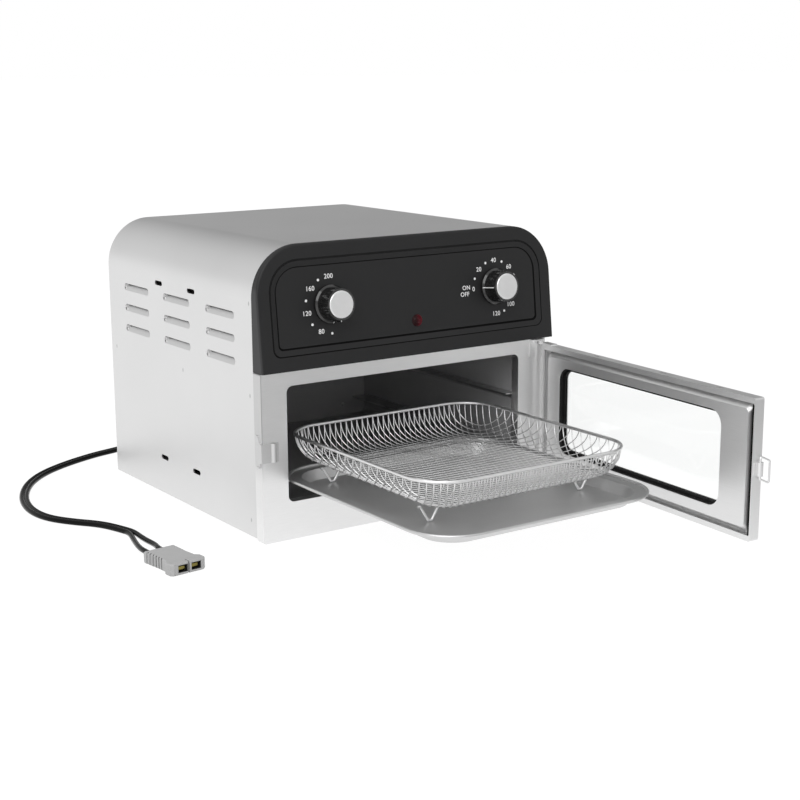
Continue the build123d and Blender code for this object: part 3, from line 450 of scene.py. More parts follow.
def heated_tube():
    """The element's sheath: dull steel with straw and blue heat tints in bands."""
    straw, blue = (0.11, 0.085, 0.06), (0.07, 0.075, 0.1)
    return two_tone(
        "heated_tube", (straw, blue), (34, 3.0), (1800, 2.0), (0.42, 0.0, 0.16), (0.1, 0.1 * MM), Metallic=0.8
    )


def dull_steel():
    """Motor stack and shafts: oiled dark steel with thin laminations up its height."""
    s = new_material("dull_dark_steel")
    where = s.place()
    height = s.axis(where, "Z")
    plates = (height * 9000).wave() * 0.5 + 0.5
    cloud = s.noise(where, 40, 3.0)
    return s.finish(
        Base_Color=s.mix(cloud, grey(0.16), grey(0.26)),
        Metallic=0.9,
        Roughness=0.36 + 0.12 * plates + 0.08 * cloud,
        Normal=s.bump(plates, 0.08, 0.0002),
    )


def lead_sheath():
    """The lead's smooth black sheath: glossy, with slow dull patches along it."""
    return two_tone(
        "lead_sheath", (grey(0.002), grey(0.004)), (45, 3.0), (1500, 2.0), (0.12, 0.1, 0.0), (0.02, 0.1 * MM),
        Specular_IOR_Level=0.14,
    )


def matt_rubber(name, level, roughness=0.55):
    """Black rubber: matt, with a fine skin texture and a little dust."""
    s = new_material(name)
    where = s.place()
    skin = s.noise(where, 2400, 3.0, 0.6)
    dust = s.noise(where, 90, 3.0).between(0.5, 0.8)
    return s.finish(
        Base_Color=s.mix(dust, grey(level), shaded(level, 1.9)),
        Roughness=roughness + 0.1 * skin + 0.08 * dust,
        Specular_IOR_Level=0.3,
        Normal=s.bump(skin, 0.12, 0.0002),
    )


def deep_black():
    """Painted shade for the lines round the panel's field and the bead in the door's gap: the dullest black, slightly
    dusty.
    """
    s = new_material("painted_shade_black")
    dust = s.noise(s.place(), 300, 3.0)
    return s.finish(
        Base_Color=s.mix(dust, grey(0.0015), grey(0.004)),
        Roughness=0.7 + 0.2 * dust,
        Specular_IOR_Level=0.08,
    )


def clear_glass():
    """Door glass: clear, with a breath of haze."""
    s = new_material("clear_door_glass")
    haze = s.noise(s.place(), 30, 3.0)
    return s.finish(
        Base_Color=(0.99, 1.0, 0.995, 1.0),
        Roughness=0.012 * haze,
        IOR=1.46,
        Transmission_Weight=1.0,
    )


def brass():
    """Bare brass blades with a slight tarnish."""
    tarnish = (260, 3.0)
    return two_tone(
        "bare_brass", ((0.14, 0.11, 0.02), (0.34, 0.3, 0.1)), tarnish, tarnish, (0.3, 0.16, 0.0), (0.05, 0.2 * MM),
        Metallic=0.9,
    )


def grey_moulding(look):
    """The connector's housing: light grey moulding, slightly rough, with painted shade in its side grooves and in its
    ports.
    """
    s = new_material("grey_moulding")
    where = s.place()
    grain = s.noise(where, 1600, 3.0, 0.6)
    cloud = s.noise(where, 70, 2.0)
    run = (math.cos(CONNECTOR_TURN), math.sin(CONNECTOR_TURN))
    corner = BODY_MIDDLE + CONNECTOR_CORNER
    x, y = s.axis(where, "X") - corner.x, s.axis(where, "Y") - corner.y
    along, across = x * run[0] + y * run[1], y * run[0] - x * run[1]
    # Painted shade: near-black in the side grooves
    groove = ((along - GROOVE_START) * (2 * math.pi / GROOVE_PITCH)).cosine().between(0.2, 0.75)
    groove = groove * along.between(0.0025, 0.0036) * (1.0 - along.between(0.0278, 0.029))
    half_width = CONNECTOR_WIDTH / 2
    painted_recess_shade = groove * (across - half_width).size().between(half_width - 0.0023, half_width - 0.0017)
    level = (s.axis(where, "Z") - CONNECTOR_HEIGHT / 2).size()
    port_half_width, port_half_height = PORT_HALF
    low = 1.0 - level.between(port_half_height + 0.03 * MM, port_half_height + 0.15 * MM)
    inside = low * (1.0 - along.between(0.0463, 0.0472))
    # Painted shade in the ports as well
    for entry in CORE_ENTRIES.values():
        port = 1.0 - (across - entry).size().between(port_half_width + 0.03 * MM, port_half_width + 0.15 * MM)
        painted_recess_shade = painted_recess_shade + port * inside
    plain = s.mix(cloud, tuple(look.connector), tuple(min(c * 1.12, 1.0) for c in look.connector))
    return s.finish(
        Base_Color=s.mix(painted_recess_shade.held(), plain, grey(0.025)),
        Roughness=0.42 + 0.12 * grain,
        Normal=s.bump(grain, 0.12, 0.0002),
    )


def white_print():
    """Printed marks: dense white ink whose edge thins in tiny spots."""
    ink = (4200, 2.0)
    return two_tone("white_print", (grey(0.86), grey(0.97)), ink, ink, (0.5, 0.1, 0.0), (0.05, 0.1 * MM))


# Surfaces


def shown(name, data):
    """An object for some data, put into the scene."""
    made = bpy.data.objects.new(name, data)
    bpy.context.scene.collection.objects.link(made)
    return made


def build_object(name, points, faces, material, smooth_angle=40.0):
    """A mesh object from an array of points and an array of faces, smooth up to an angle."""
    mesh = bpy.data.meshes.new(name)
    mesh.from_pydata(points, [], faces)
    mesh.update()
    mesh.shade_smooth()
    mesh.set_sharp_from_angle(angle=math.radians(smooth_angle))
    mesh.materials.append(material)
    return shown(name, mesh)


def strip_faces(strips, rings, sides, close_ends=True):
    """Faces of tubes laid one after another: each tube is rings by sides points, closed round and at its ends."""
    base = (np.arange(strips) * rings * sides)[:, None, None]
    ring = (np.arange(rings - 1) * sides)[None, :, None]
    side = np.arange(sides)[None, None, :]
    after = (side + 1) % sides
    quads = np.stack(
        [base + ring + side, base + ring + sides + side, base + ring + sides + after, base + ring + after], axis=-1
    )
    faces = quads.reshape(-1, 4).tolist()
    if close_ends:
        starts = base[:, 0, 0][:, None] + np.arange(sides)[None, :]
        ends = base[:, 0, 0][:, None] + (rings - 1) * sides + np.arange(sides)[None, ::-1]
        faces += starts.tolist() + ends.tolist()
    return faces


def ring_faces(rings, sides):
    """Faces of one tube that closes on itself, so that its last ring meets its first."""
    last = (rings - 1) * sides
    seam = [[last + n, n, (n + 1) % sides, last + (n + 1) % sides] for n in range(sides)]
    return strip_faces(1, rings, sides, close_ends=False) + seam


def carried(path, side, up, across, height):
    """A section carried along a path: each ring is its path point, plus across times side, plus height times up."""
    return (path[:, None] + side[:, None] * across[..., None] + up[:, None] * height[..., None]).reshape(-1, 3)


def tube_points(paths, across, radius, sides):
    """Round tubes: about each path point runs a circle in the plane of across and of across times the path's direction.

    paths is strips by rings by 3, across is strips by 3 and level."""
    along = np.gradient(paths, axis=1)
    along /= np.linalg.norm(along, axis=2, keepdims=True)
    side = np.broadcast_to(across[:, None, :], paths.shape)
    up = np.cross(side, along)
    turn = np.arange(sides) * 2 * np.pi / sides
    circle = (
        side[:, :, None, :] * np.cos(turn)[None, None, :, None] + up[:, :, None, :] * np.sin(turn)[None, None, :, None]
    )
    return (paths[:, :, None, :] + radius * circle).reshape(-1, 3)


def field_outline(inset, count=12):
    """Outline of the panel's sunk field at a distance inside its edge: four quarter arcs joined by straight lines.

    Its upper corners have the larger radius."""
    half = HALF_WIDTH - FIELD_MARGIN - inset
    low, high = slope_at(FIELD_LOW) + inset, slope_at(FIELD_HIGH) - inset
    upper, lower = FIELD_RADII[0] - inset, FIELD_RADII[1] - inset / 2
    radius = np.array([upper, upper, lower, lower])[:, None]
    side_x = np.array([1.0, -1.0, -1.0, 1.0])[:, None]
    centre_y = np.array([high, high, low, low])[:, None] - radius * np.array([1.0, 1.0, -1.0, -1.0])[:, None]
    turn = np.linspace(0, np.pi / 2, count)[None, :] + np.arange(4)[:, None] * np.pi / 2
    x = side_x * (half - radius) + radius * np.cos(turn)
    y = centre_y + radius * np.sin(turn)
    return np.stack([x.ravel(), y.ravel()], axis=1)


# The mains lead's route from the back panel to the fork, as the part's source has it
LEAD_ROUTE = [
    (-0.0455, 0.155, 0.012), (-0.0455, 0.173, 0.012), (-0.0455, 0.190, 0.0024), (-0.0455, 0.213, 0.0024),
    (-0.060, 0.2334, 0.0024), (-0.0835, 0.2415, 0.0024), (-0.107, 0.236, 0.0024), (-0.130, 0.2286, 0.0024),
    (-0.153, 0.223, 0.0024), (-0.180, 0.212, 0.0024), (-0.207, 0.198, 0.0024), (-0.234, 0.179, 0.0024),
    (-0.258, 0.152, 0.0024), (-0.276, 0.120, 0.0024), (-0.288, 0.087, 0.0024), (-0.293, 0.054, 0.0024),
    (-0.289, 0.025, 0.0024), (-0.275, 0.001, 0.0024), (-0.2585, -0.019, 0.0024), (-0.2502, -0.0385, 0.0024),
    (-0.2458, -0.0555, 0.0024),
]
LEAD_WIDTH = 0.0096
LEAD_THICKNESS = 0.0048
CONNECTOR_CORNER = Vector((-0.2705, -0.1414, 0.0))
CONNECTOR_TURN = math.radians(-84.3)
CONNECTOR_WIDTH = 0.0298
CONNECTOR_HEIGHT = 0.0106
GROOVE_START = 0.005
GROOVE_PITCH = 0.0043
PORT_HALF = (0.00475, 0.0033)
CORE_ENTRIES = {"left": 0.0092, "right": CONNECTOR_WIDTH - 0.0076}
# Moved from the part's own points by 4 to 5 mm, to follow the photograph
CORE_MIDDLES = {
    "left": [(-0.2535, -0.0855, 0.0026), (-0.2605, -0.111, 0.004)],
    "right": [(-0.2442, -0.0865, 0.0026), (-0.245, -0.112, 0.004)],
}


def connector_spot(along, across, up):
    """A point of the connector: along it from its cord end, across it, and up."""
    run = Vector((math.cos(CONNECTOR_TURN), math.sin(CONNECTOR_TURN), 0))
    side = Vector((-run.y, run.x, 0))
    return BODY_MIDDLE + CONNECTOR_CORNER + run * along + side * across + Vector((0, 0, up))


def cord_curve(name, points, radius=0.0):
    """An open spline of order 3 with these control points, which starts and ends on its own ends."""
    curve = bpy.data.curves.new(name, "CURVE")
    curve.dimensions = "3D"
    curve.resolution_u = 12
    spline = curve.splines.new("NURBS")
    spline.points.add(len(points) - 1)
    spline.points.foreach_set("co", [c for p in points for c in (*p, 1.0)])
    spline.order_u = 3
    spline.use_endpoint_u = True
    curve.bevel_depth = radius
    curve.bevel_resolution = 5
    curve.use_fill_caps = True
    return shown(name, curve)


def curve_line(curve_object):
    """The points of a curve that has no bevel."""
    mesh = bpy.data.meshes.new_from_object(curve_object)
    line = np.zeros(len(mesh.vertices) * 3)
    mesh.vertices.foreach_get("co", line)
    bpy.data.meshes.remove(mesh)
    return line.reshape(-1, 3)


def twin_section(width, thickness, count):
    """Outline of a flat twin lead: two round cores side by side that meet in a waist.

    The half height at a distance across is that of the nearer core's circle, and never less than the waist's."""
    turn = np.linspace(0, 2 * np.pi, count, endpoint=False)
    radius = thickness / 2
    centre = width / 2 - radius
    across = np.cos(turn) * width / 2
    reach = np.clip(np.abs(np.abs(across) - centre) / radius, 0, 1)
    half = np.maximum(radius * np.sqrt(1 - reach**2), radius * 0.5 * (np.abs(across) < centre))
    return across, np.where(np.sin(turn) >= 0, half, -half)


# Net of the basket

NET_SLANT = math.atan(0.4853)
RIM_WIRE = 0.0015
BASKET_CORNER = 0.0365
WALL_INSET = 0.027
BASKET_FLOOR = 0.0618


def rim_distance(x, y, half_x, half_y, corner):
    """How far a point lies inside a rounded rectangle, measured square to its edge."""
    away_x = np.abs(x) - (half_x - corner)
    away_y = np.abs(y) - (half_y - corner)
    outside = np.hypot(np.maximum(away_x, 0), np.maximum(away_y, 0)) + np.minimum(np.maximum(away_x, away_y), 0)
    return corner - outside


def net_paths(size, pitch, direction, steps):
    """Slanting wires of one direction over the dished basket.

    A wire is straight seen from above, and leans from the line of the tray's slide by the net's slant. Its height
    follows a quarter ellipse: with t the distance from the rim as a share of the wall's inset, from 0 at the rim to 1
    on the floor, the height is the floor's plus the wall's height times 1 minus the root of t times (2 - t). Points
    are even in the ellipse's angle on the walls."""
    half_x, half_y, corner = size["half_x"], size["half_y"], size["corner"]
    run_x, run_y = direction * math.sin(NET_SLANT), math.cos(NET_SLANT)
    count = int((half_x + half_y) / pitch)
    offset = (np.arange(-count, count + 1) - 0.125 * direction) * pitch
    base_x, base_y = run_y * offset, -run_x * offset

    def depth_at(share):
        """How far inside the rim each wire is, at these distances along it."""
        x, y = base_x[:, None] + run_x * share, base_y[:, None] + run_y * share
        return rim_distance(x, y, half_x, half_y, corner)

    # The middle of each line inside the rim, by the deepest point on it
    probe = np.linspace(-0.18, 0.18, 721)
    depth = depth_at(probe)
    best = depth.argmax(axis=1)
    kept = depth.max(axis=1) > 0.004
    base_x, base_y, middle = base_x[kept], base_y[kept], probe[best[kept]]
    angle = np.linspace(0, np.pi / 2, steps)
    reach = np.minimum(size["inset"], depth.max(axis=1)[kept] * 0.98)
    target = reach[:, None] * (1 - np.cos(angle))[None, :]
    ends = []
    for sign in (-1.0, 1.0):
        low = np.broadcast_to(middle[:, None], (len(middle), steps)).copy()
        high = low + sign * 0.3
        for _ in range(36):
            test = (low + high) / 2
            inside = depth_at(test) > target
            low = np.where(inside, test, low)
            high = np.where(inside, high, test)
        ends.append(low)
    share = np.concatenate([ends[0], ends[1][:, ::-1]], axis=1)
    x = base_x[:, None] + run_x * share
    y = base_y[:, None] + run_y * share
    t = np.clip(depth_at(share) / size["inset"], 0, 1)
    z = size["floor"] + (size["rim"] - size["floor"]) * (1 - np.sqrt(np.clip(t * (2 - t), 0, 1)))
    z += size["wire"] * (0.46 if direction < 0 else -0.46)
    across = np.tile([run_y, -run_x, 0.0], (len(x), 1))
    return np.stack([x, y, z], axis=-1), across


# Settings


class OvenLooks(bpy.types.PropertyGroup):
    silver: FloatVectorProperty(
        name="Silver sheet", description="Colour of the wrapper", subtype="COLOR", default=(0.74, 0.74, 0.745)
    )
    steel: FloatVectorProperty(
        name="Bright steel", description="Colour of the frame and the door", subtype="COLOR",
        default=(0.85, 0.85, 0.855),
    )
    plated: FloatVectorProperty(
        name="Plated sheet", description="Colour of the hidden sheet", subtype="COLOR", default=(0.6, 0.6, 0.6)
    )
    moulding: FloatVectorProperty(
        name="Panel moulding", description="Colour of the control panel", subtype="COLOR",
        default=(0.013, 0.013, 0.0135),
    )
    lining: FloatVectorProperty(
        name="Cavity coating", description="Colour of the cavity", subtype="COLOR", default=(0.4, 0.4, 0.405)
    )
    tray: FloatVectorProperty(
        name="Tray", description="Colour of the drip tray", subtype="COLOR", default=(0.68, 0.685, 0.69)
    )
    cap: FloatVectorProperty(
        name="Dial caps", description="Colour of the dials' metal caps", subtype="COLOR", default=(0.78, 0.78, 0.78)
    )
    lamp: FloatVectorProperty(
        name="Lamp lens", description="Colour of the red lens", subtype="COLOR", default=(0.05, 0.003, 0.006)
    )
    connector: FloatVectorProperty(
        name="Connector", description="Colour of the connector's housing", subtype="COLOR", default=(0.4, 0.4, 0.4)
    )


class OvenSizes(bpy.types.PropertyGroup):
    net_pitch: FloatProperty(
        name="Net pitch", description="Distance between the basket's wires", unit="LENGTH", default=0.0054
    )
    net_wire: FloatProperty(
        name="Net wire", description="Diameter of the basket's wires", unit="LENGTH", default=0.001
    )
    net_steps: IntProperty(name="Wall steps", description="Points on each bent wall wire", default=12, min=4)
    mark_radius: FloatProperty(
        name="Mark circle", description="Radius of the circle of dial marks", unit="LENGTH", default=0.0253
    )
    mark_height: FloatProperty(
        name="Mark height", description="Height of the dial's numbers", unit="LENGTH", default=0.0043
    )


class OvenStage(bpy.types.PropertyGroup):
    key_power: FloatProperty(name="Key lamp", description="Power of the large lamp", unit="POWER", default=26.0)
    fill_power: FloatProperty(name="Fill lamp", description="Power of the second lamp", unit="POWER", default=5.0)
    sky: FloatProperty(name="Sky", description="Brightness of the world overhead", default=0.85, min=0.0)
    band_left: FloatProperty(name="Band, left", description="Brightness above the horizon on the left", default=0.78)
    band_right: FloatProperty(name="Band, right", description="Brightness above the horizon on the right", default=0.2)
    falloff: FloatProperty(name="Floor's falloff", description="Share of the far floor's glow in metal", default=0.25)
    floor: FloatVectorProperty(
        name="Floor", description="Colour of the floor", subtype="COLOR", default=(0.86, 0.86, 0.86)
    )


# Operators


class OVEN_OT_camera(bpy.types.Operator):
    """Sets up the camera at the height and side from which the oven is seen"""

    bl_idname = "oven.camera"
    bl_label = "Camera"

    def execute(self, context):
        data = bpy.data.cameras.new("camera")
        data.lens = CAMERA_LENS
        data.sensor_width = 36.0
        data.clip_end = 100.0
        camera = shown("camera", data)
        azimuth, elevation, roll = CAMERA_AZIMUTH, CAMERA_ELEVATION, CAMERA_ROLL
        look = Vector(
            (math.sin(azimuth) * math.cos(elevation), math.cos(azimuth) * math.cos(elevation), -math.sin(elevation))
        )
        right = look.cross(Vector((0, 0, 1))).normalized()
        up = right.cross(look)
        right, up = right * math.cos(roll) + up * math.sin(roll), up * math.cos(roll) - right * math.sin(roll)
        turn = Matrix((right, up, -look)).transposed().to_4x4()
        camera.matrix_world = Matrix.Translation(placed(*CAMERA_SPOT)) @ turn
        context.scene.camera = camera
        return {"FINISHED"}


class OVEN_OT_stage(bpy.types.Operator):
    """Lays a pale floor, a plain bright surround and two large soft lamps"""

    bl_idname = "oven.stage"
    bl_label = "Stage"

    def execute(self, context):
        stage = context.scene.oven_stage
        self.floor(stage)
        self.surround(stage)
        self.lamp("key_lamp", (-1.5, -1.2, 1.9), 1.9, stage.key_power)
        self.lamp("fill_lamp", (1.6, -1.9, 1.3), 1.6, stage.fill_power)
        context.scene.view_settings.view_transform = "Standard"
        return {"FINISHED"}

    def floor(self, stage):
        """A pale floor that takes the shadow, glows white to the eye, and glows less far ahead in a mirror."""
        reach = 40.0
        s = new_material("pale_floor")
        material = s.owner
        rays = s.node("ShaderNodeLightPath")
        glossy = Level(s, rays.outputs["Is Glossy Ray"])
        seen = Level(s, rays.outputs["Is Camera Ray"]) + Level(s, rays.outputs["Is Transmission Ray"])
        where = s.place()
        ahead = s.axis(where, "X") * 0.57 - s.axis(where, "Y") * 0.82
        dim = glossy * ahead.between(0.2, 1.0) * (1.0 - stage.falloff)
        pale = s.mix(s.noise(where, 300, 2.0) * 0.1, tuple(stage.floor), tuple(c * 0.97 for c in stage.floor))
        lit = s.node("ShaderNodeBsdfDiffuse", {}, {"Color": pale})
        glow = s.node("ShaderNodeEmission", {}, {"Color": s.mix(dim, grey(1.0), grey(0.0)), "Strength": 1.1})
        share = (seen + glossy).held() * 0.86
        both = s.node("ShaderNodeMixShader", {}, {0: share, 1: lit.outputs[0], 2: glow.outputs[0]})
        s.node("ShaderNodeOutputMaterial", {}, {"Surface": both.outputs[0]})
        corners = np.array([(-reach, -reach, 0), (reach, -reach, 0), (reach, reach, 0), (-reach, reach, 0)])
        build_object("floor", corners, [(0, 1, 2, 3)], material)

    def surround(self, stage):
        """A world that is white up to the horizon, dim in a band above it and brighter overhead.

        The band is dimmer on the right."""
        world = bpy.data.worlds.new("surround")
        bpy.context.scene.world = world
        s = Shades(world)
        direction = s.node("ShaderNodeTexCoord").outputs["Generated"]
        height = s.axis(direction, "Z")
        band = stage.band_left + s.axis(direction, "X").between(-0.5, 0.6) * (stage.band_right - stage.band_left)
        level = 1.0 - height.between(0.045, 0.13) * (1.0 - band)
        level = level + height.between(0.55, 0.9) * (stage.sky - band)
        light = s.node("ShaderNodeBackground", {}, {"Color": (1, 1, 1, 1), "Strength": level})
        s.node("ShaderNodeOutputWorld", {}, {"Surface": light.outputs[0]})

    def lamp(self, name, spot, size, power):
        data = bpy.data.lights.new(name, "AREA")
        data.shape = "SQUARE"
        data.size = size
        data.energy = power
        lamp = shown(name, data)
        aim = Vector((0, 0, 0.12)) - Vector(spot)
        lamp.matrix_world = Matrix.Translation(Vector(spot)) @ aim.to_track_quat("-Z", "Y").to_matrix().to_4x4()


class OVEN_OT_lead(bpy.types.Operator):
    """Lays the flat twin mains lead along the floor, with its two split cores"""

    bl_idname = "oven.lead"
    bl_label = "Mains lead"

    def execute(self, context):
        material = lead_sheath()
        route = [placed(*p) for p in LEAD_ROUTE]
        guide = cord_curve("lead_route", route)
        line = curve_line(guide)
        bpy.data.objects.remove(guide)
        lead = self.twin_lead(line, material)
        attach(lead, "body")
        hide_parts("cord_main")
        boot = self.boot(line)
        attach(boot, "body")
        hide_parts("cord_gland")
        run = (route[-1] - route[-2]).normalized()
        across = Vector((-run.y, run.x, 0))
        for side, sign, long in (("left", -1, 0.0865), ("right", 1, 0.085)):
            start = route[-1] + across * (sign * LEAD_THICKNESS / 2)
            entry = (CORE_ENTRIES[side], CONNECTOR_HEIGHT / 2)
            points = [start, start + run * 0.006, *[placed(*p) for p in CORE_MIDDLES[side]]]
            points += [connector_spot(-0.012, *entry), connector_spot(0.0, *entry)]
            core = cord_curve(f"lead_core_{side}", points, LEAD_THICKNESS / 2)
            core.data.materials.append(material)
            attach(core, "body")
            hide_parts(f"cord_core_{side}")
        return {"FINISHED"}

    def twin_lead(self, line, material):
        """The twin section carried along the route, with its width kept level."""
        along = np.gradient(line, axis=0)
        along /= np.linalg.norm(along, axis=1, keepdims=True)
        side = np.cross(along, [0, 0, 1.0])
        side /= np.linalg.norm(side, axis=1, keepdims=True)
        up = np.cross(side, along)
        across, height = twin_section(LEAD_WIDTH, LEAD_THICKNESS, 28)
        points = carried(line, side, up, across[None], height[None])
        faces = strip_faces(1, len(line), len(across))
        return build_object("mains_lead", points, faces, material, 60.0)

    def boot(self, line):
        """The strain relief: a round bush held in the back panel, with a ribbed tail that tapers on to the lead.

        It follows the lead's own line. Its half width and half height go from the bush's radius to the lead's, plus a
        wall, and every second stretch of the tail is drawn in by 16 per cent."""
        bush = np.array([0.1428, 0.1446, 0.1448, 0.1458, 0.1460, 0.1480, 0.1486, 0.1500, 0.1520])
        start = np.stack([np.full(9, line[0][0]), BODY_MIDDLE.y + bush, np.full(9, line[0][2])], axis=1)
        gone = np.concatenate([[0.0], np.cumsum(np.linalg.norm(np.diff(line, axis=0), axis=1))])
        along = np.linspace(0.0, 0.0155, 32)
        tail = np.stack([np.interp(along, gone, line[:, n]) for n in range(3)], axis=1)
        path = np.concatenate([start, tail])
        run = np.gradient(path, axis=0)
        run /= np.linalg.norm(run, axis=1, keepdims=True)
        side = np.tile([1.0, 0.0, 0.0], (len(path), 1))
        up = np.cross(side, run)
        share = along / along[-1]
        drawn_in = 1.0 - 0.16 * ((share > 0.12) & (share < 0.94) & (np.floor(share * 15) % 2 == 1))
        radius = np.array([0.0068, 0.007, 0.0055, 0.0055, 0.0072, 0.0072, 0.0066, 0.0064, 0.0062])
        wide = np.concatenate([radius, (0.0061 - 0.0003 * share) * (0.5 + 0.5 * drawn_in)])
        high = np.concatenate([radius, (0.0061 - 0.0026 * share) * drawn_in])
        turn = np.arange(32) * 2 * np.pi / 32
        points = carried(path, side, up, wide[:, None] * np.cos(turn), high[:, None] * np.sin(turn))
        faces = strip_faces(1, len(path), 32)
        return build_object("strain_relief", points, faces, matt_rubber("boot_rubber", 0.01, 0.42), 40.0)


class OVEN_OT_basket(bpy.types.Operator):
    """Bends the basket's diagonal wires over its dished form"""

    bl_idname = "oven.basket"
    bl_label = "Basket net"

    def execute(self, context):
        sizes = context.scene.oven_sizes
        low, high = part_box("basket_rim")
        middle = (low + high) / 2
        size = {
            "half_x": (high.x - low.x) / 2 - RIM_WIRE,
            "half_y": (high.y - low.y) / 2 - RIM_WIRE,
            "corner": BASKET_CORNER,
            "inset": WALL_INSET,
            "floor": BASKET_FLOOR,
            "rim": middle.z,
            "wire": sizes.net_wire,
        }
        points, faces, offset = [], [], 0
        for direction in (1, -1):
            paths, across = net_paths(size, sizes.net_pitch, direction, sizes.net_steps)
            tube = tube_points(paths, across, sizes.net_wire / 2, 6)
            part = strip_faces(paths.shape[0], paths.shape[1], 6)
            faces += [[v + offset for v in face] for face in part]
            offset += len(tube)
            points.append(tube)
        points = np.concatenate(points) + np.array([middle.x, middle.y, 0.0])
        net = build_object("basket_net", points, faces, wire_metal("net_wire", 0.9, 0.3), 60.0)
        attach(net, "basket")
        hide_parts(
            "basket_floor_mesh", "basket_front_mesh", "basket_back_mesh", "basket_left_mesh", "basket_right_mesh"
        )
        return {"FINISHED"}


class OVEN_OT_marks(bpy.types.Operator):
    """Prints the numbers and dots round both dials"""

    bl_idname = "oven.marks"
    bl_label = "Dial marks"

    def execute(self, context):
        sizes = context.scene.oven_sizes
        material = white_print()
        radius, height = sizes.mark_radius, sizes.mark_height
        # Clockwise turn from the top of the dial, in degrees, and what stands there
        timer = [(270 + 22.5 * n, text) for n, text in enumerate(
            ["0", ".", "20", ".", "40", ".", "60", ".", "80", ".", "100", ".", "120"])]
        temperature = [(180 + 180 / 7 * n, text) for n, text in enumerate(
            [".", "80", ".", "120", ".", "160", ".", "200"])]
        pieces = []
        for dial, marks in (("timer", timer), ("temperature", temperature)):
            for turn, text in marks:
                x = DIALS[dial] + radius * math.sin(math.radians(turn))
                slope = MARK_SLOPE + radius * math.cos(math.radians(turn))
                pieces.append(self.dot(x, slope) if text == "." else self.word(text, x, slope, height))
        pieces.append(self.word("ON", DIALS["timer"] - 0.0338, MARK_SLOPE + 0.0019, height * 0.95))
        pieces.append(self.word("OFF", DIALS["timer"] - 0.0358, MARK_SLOPE - 0.0041, height * 0.95))
        with context.temp_override(active_object=pieces[0], selected_editable_objects=pieces):
            bpy.ops.object.join()
        marks = pieces[0]
        marks.name = "dial_marks"
        marks.data.materials.clear()
        marks.data.materials.append(material)
        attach(marks, "body")
        for dial, angle in (("timer", math.pi), ("temperature", -math.pi / 2)):
            pointer = self.pointer(dial, angle, material)
            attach(pointer, f"{dial}_dial")
        return {"FINISHED"}

    def word(self, text, x, slope, height):
        """Printed characters a twentieth of a millimetre proud of the panel, centred on a spot."""
        curve = bpy.data.curves.new("mark", "FONT")
        curve.body = text
        curve.size = height * 1.38
        curve.align_x = "CENTER"
        curve.align_y = "CENTER"
        curve.offset = height * 0.014
        curve.space_character = 1.06
        curve.extrude = 0.00003
        made = shown("mark", curve)
        mesh = bpy.data.meshes.new_from_object(made)
        bpy.data.objects.remove(made)
        mesh.transform(panel_place(x, slope, 0.00005))
        return shown("mark", mesh)

    def dot(self, x, slope):
        """A round dot 2.4 mm across: a ring of points about its middle."""
        turn = np.arange(16) * 2 * np.pi / 16
        rim = np.stack([np.cos(turn), np.sin(turn)], axis=1) * 1.2 * MM
        points = np.zeros((32, 3))
        points[:16, :2] = rim
        points[16:, :2] = rim
        points[16:, 2] = -0.00004
        faces = [list(range(16)), list(range(31, 15, -1))]
        faces += [[n, n + 16, (n + 1) % 16 + 16, (n + 1) % 16] for n in range(16)]
        mesh = bpy.data.meshes.new("mark")
        mesh.from_pydata(points, [], faces)
        mesh.transform(panel_place(x, slope, 0.00008))
        return shown("mark", mesh)

    def pointer(self, dial, angle, material):
        """A white line over a knob's skirt, along its pointer rib and over the rib's end.

        Each step of the line gives its distance from the dial's axis and its height above the panel."""
        steps = np.array([(16.9, 3.46), (15.74, 4.66), (15.55, 5.0), (15.55, 16.64), (14.1, 16.64)]) * MM
        half = 0.0004
        radial = np.array([math.cos(angle), math.sin(angle)])
        beside = np.array([-radial[1], radial[0]])
        rings = []
        for sunk, side in ((0.0, half), (0.0, -half), (0.00015, -half), (0.00015, half)):
            spot = radial * (steps[:, :1] - sunk) + beside * side
            spot += np.array([DIALS[dial], slope_at(DIAL_HEIGHT)])
            rings.append(np.concatenate([spot, steps[:, 1:] - sunk - FIELD_DEPTH], axis=1))
        points = on_panel(np.stack(rings, axis=1).reshape(-1, 3))
        return build_object(f"{dial}_pointer", points, strip_faces(1, len(steps), 4), material, 20.0)


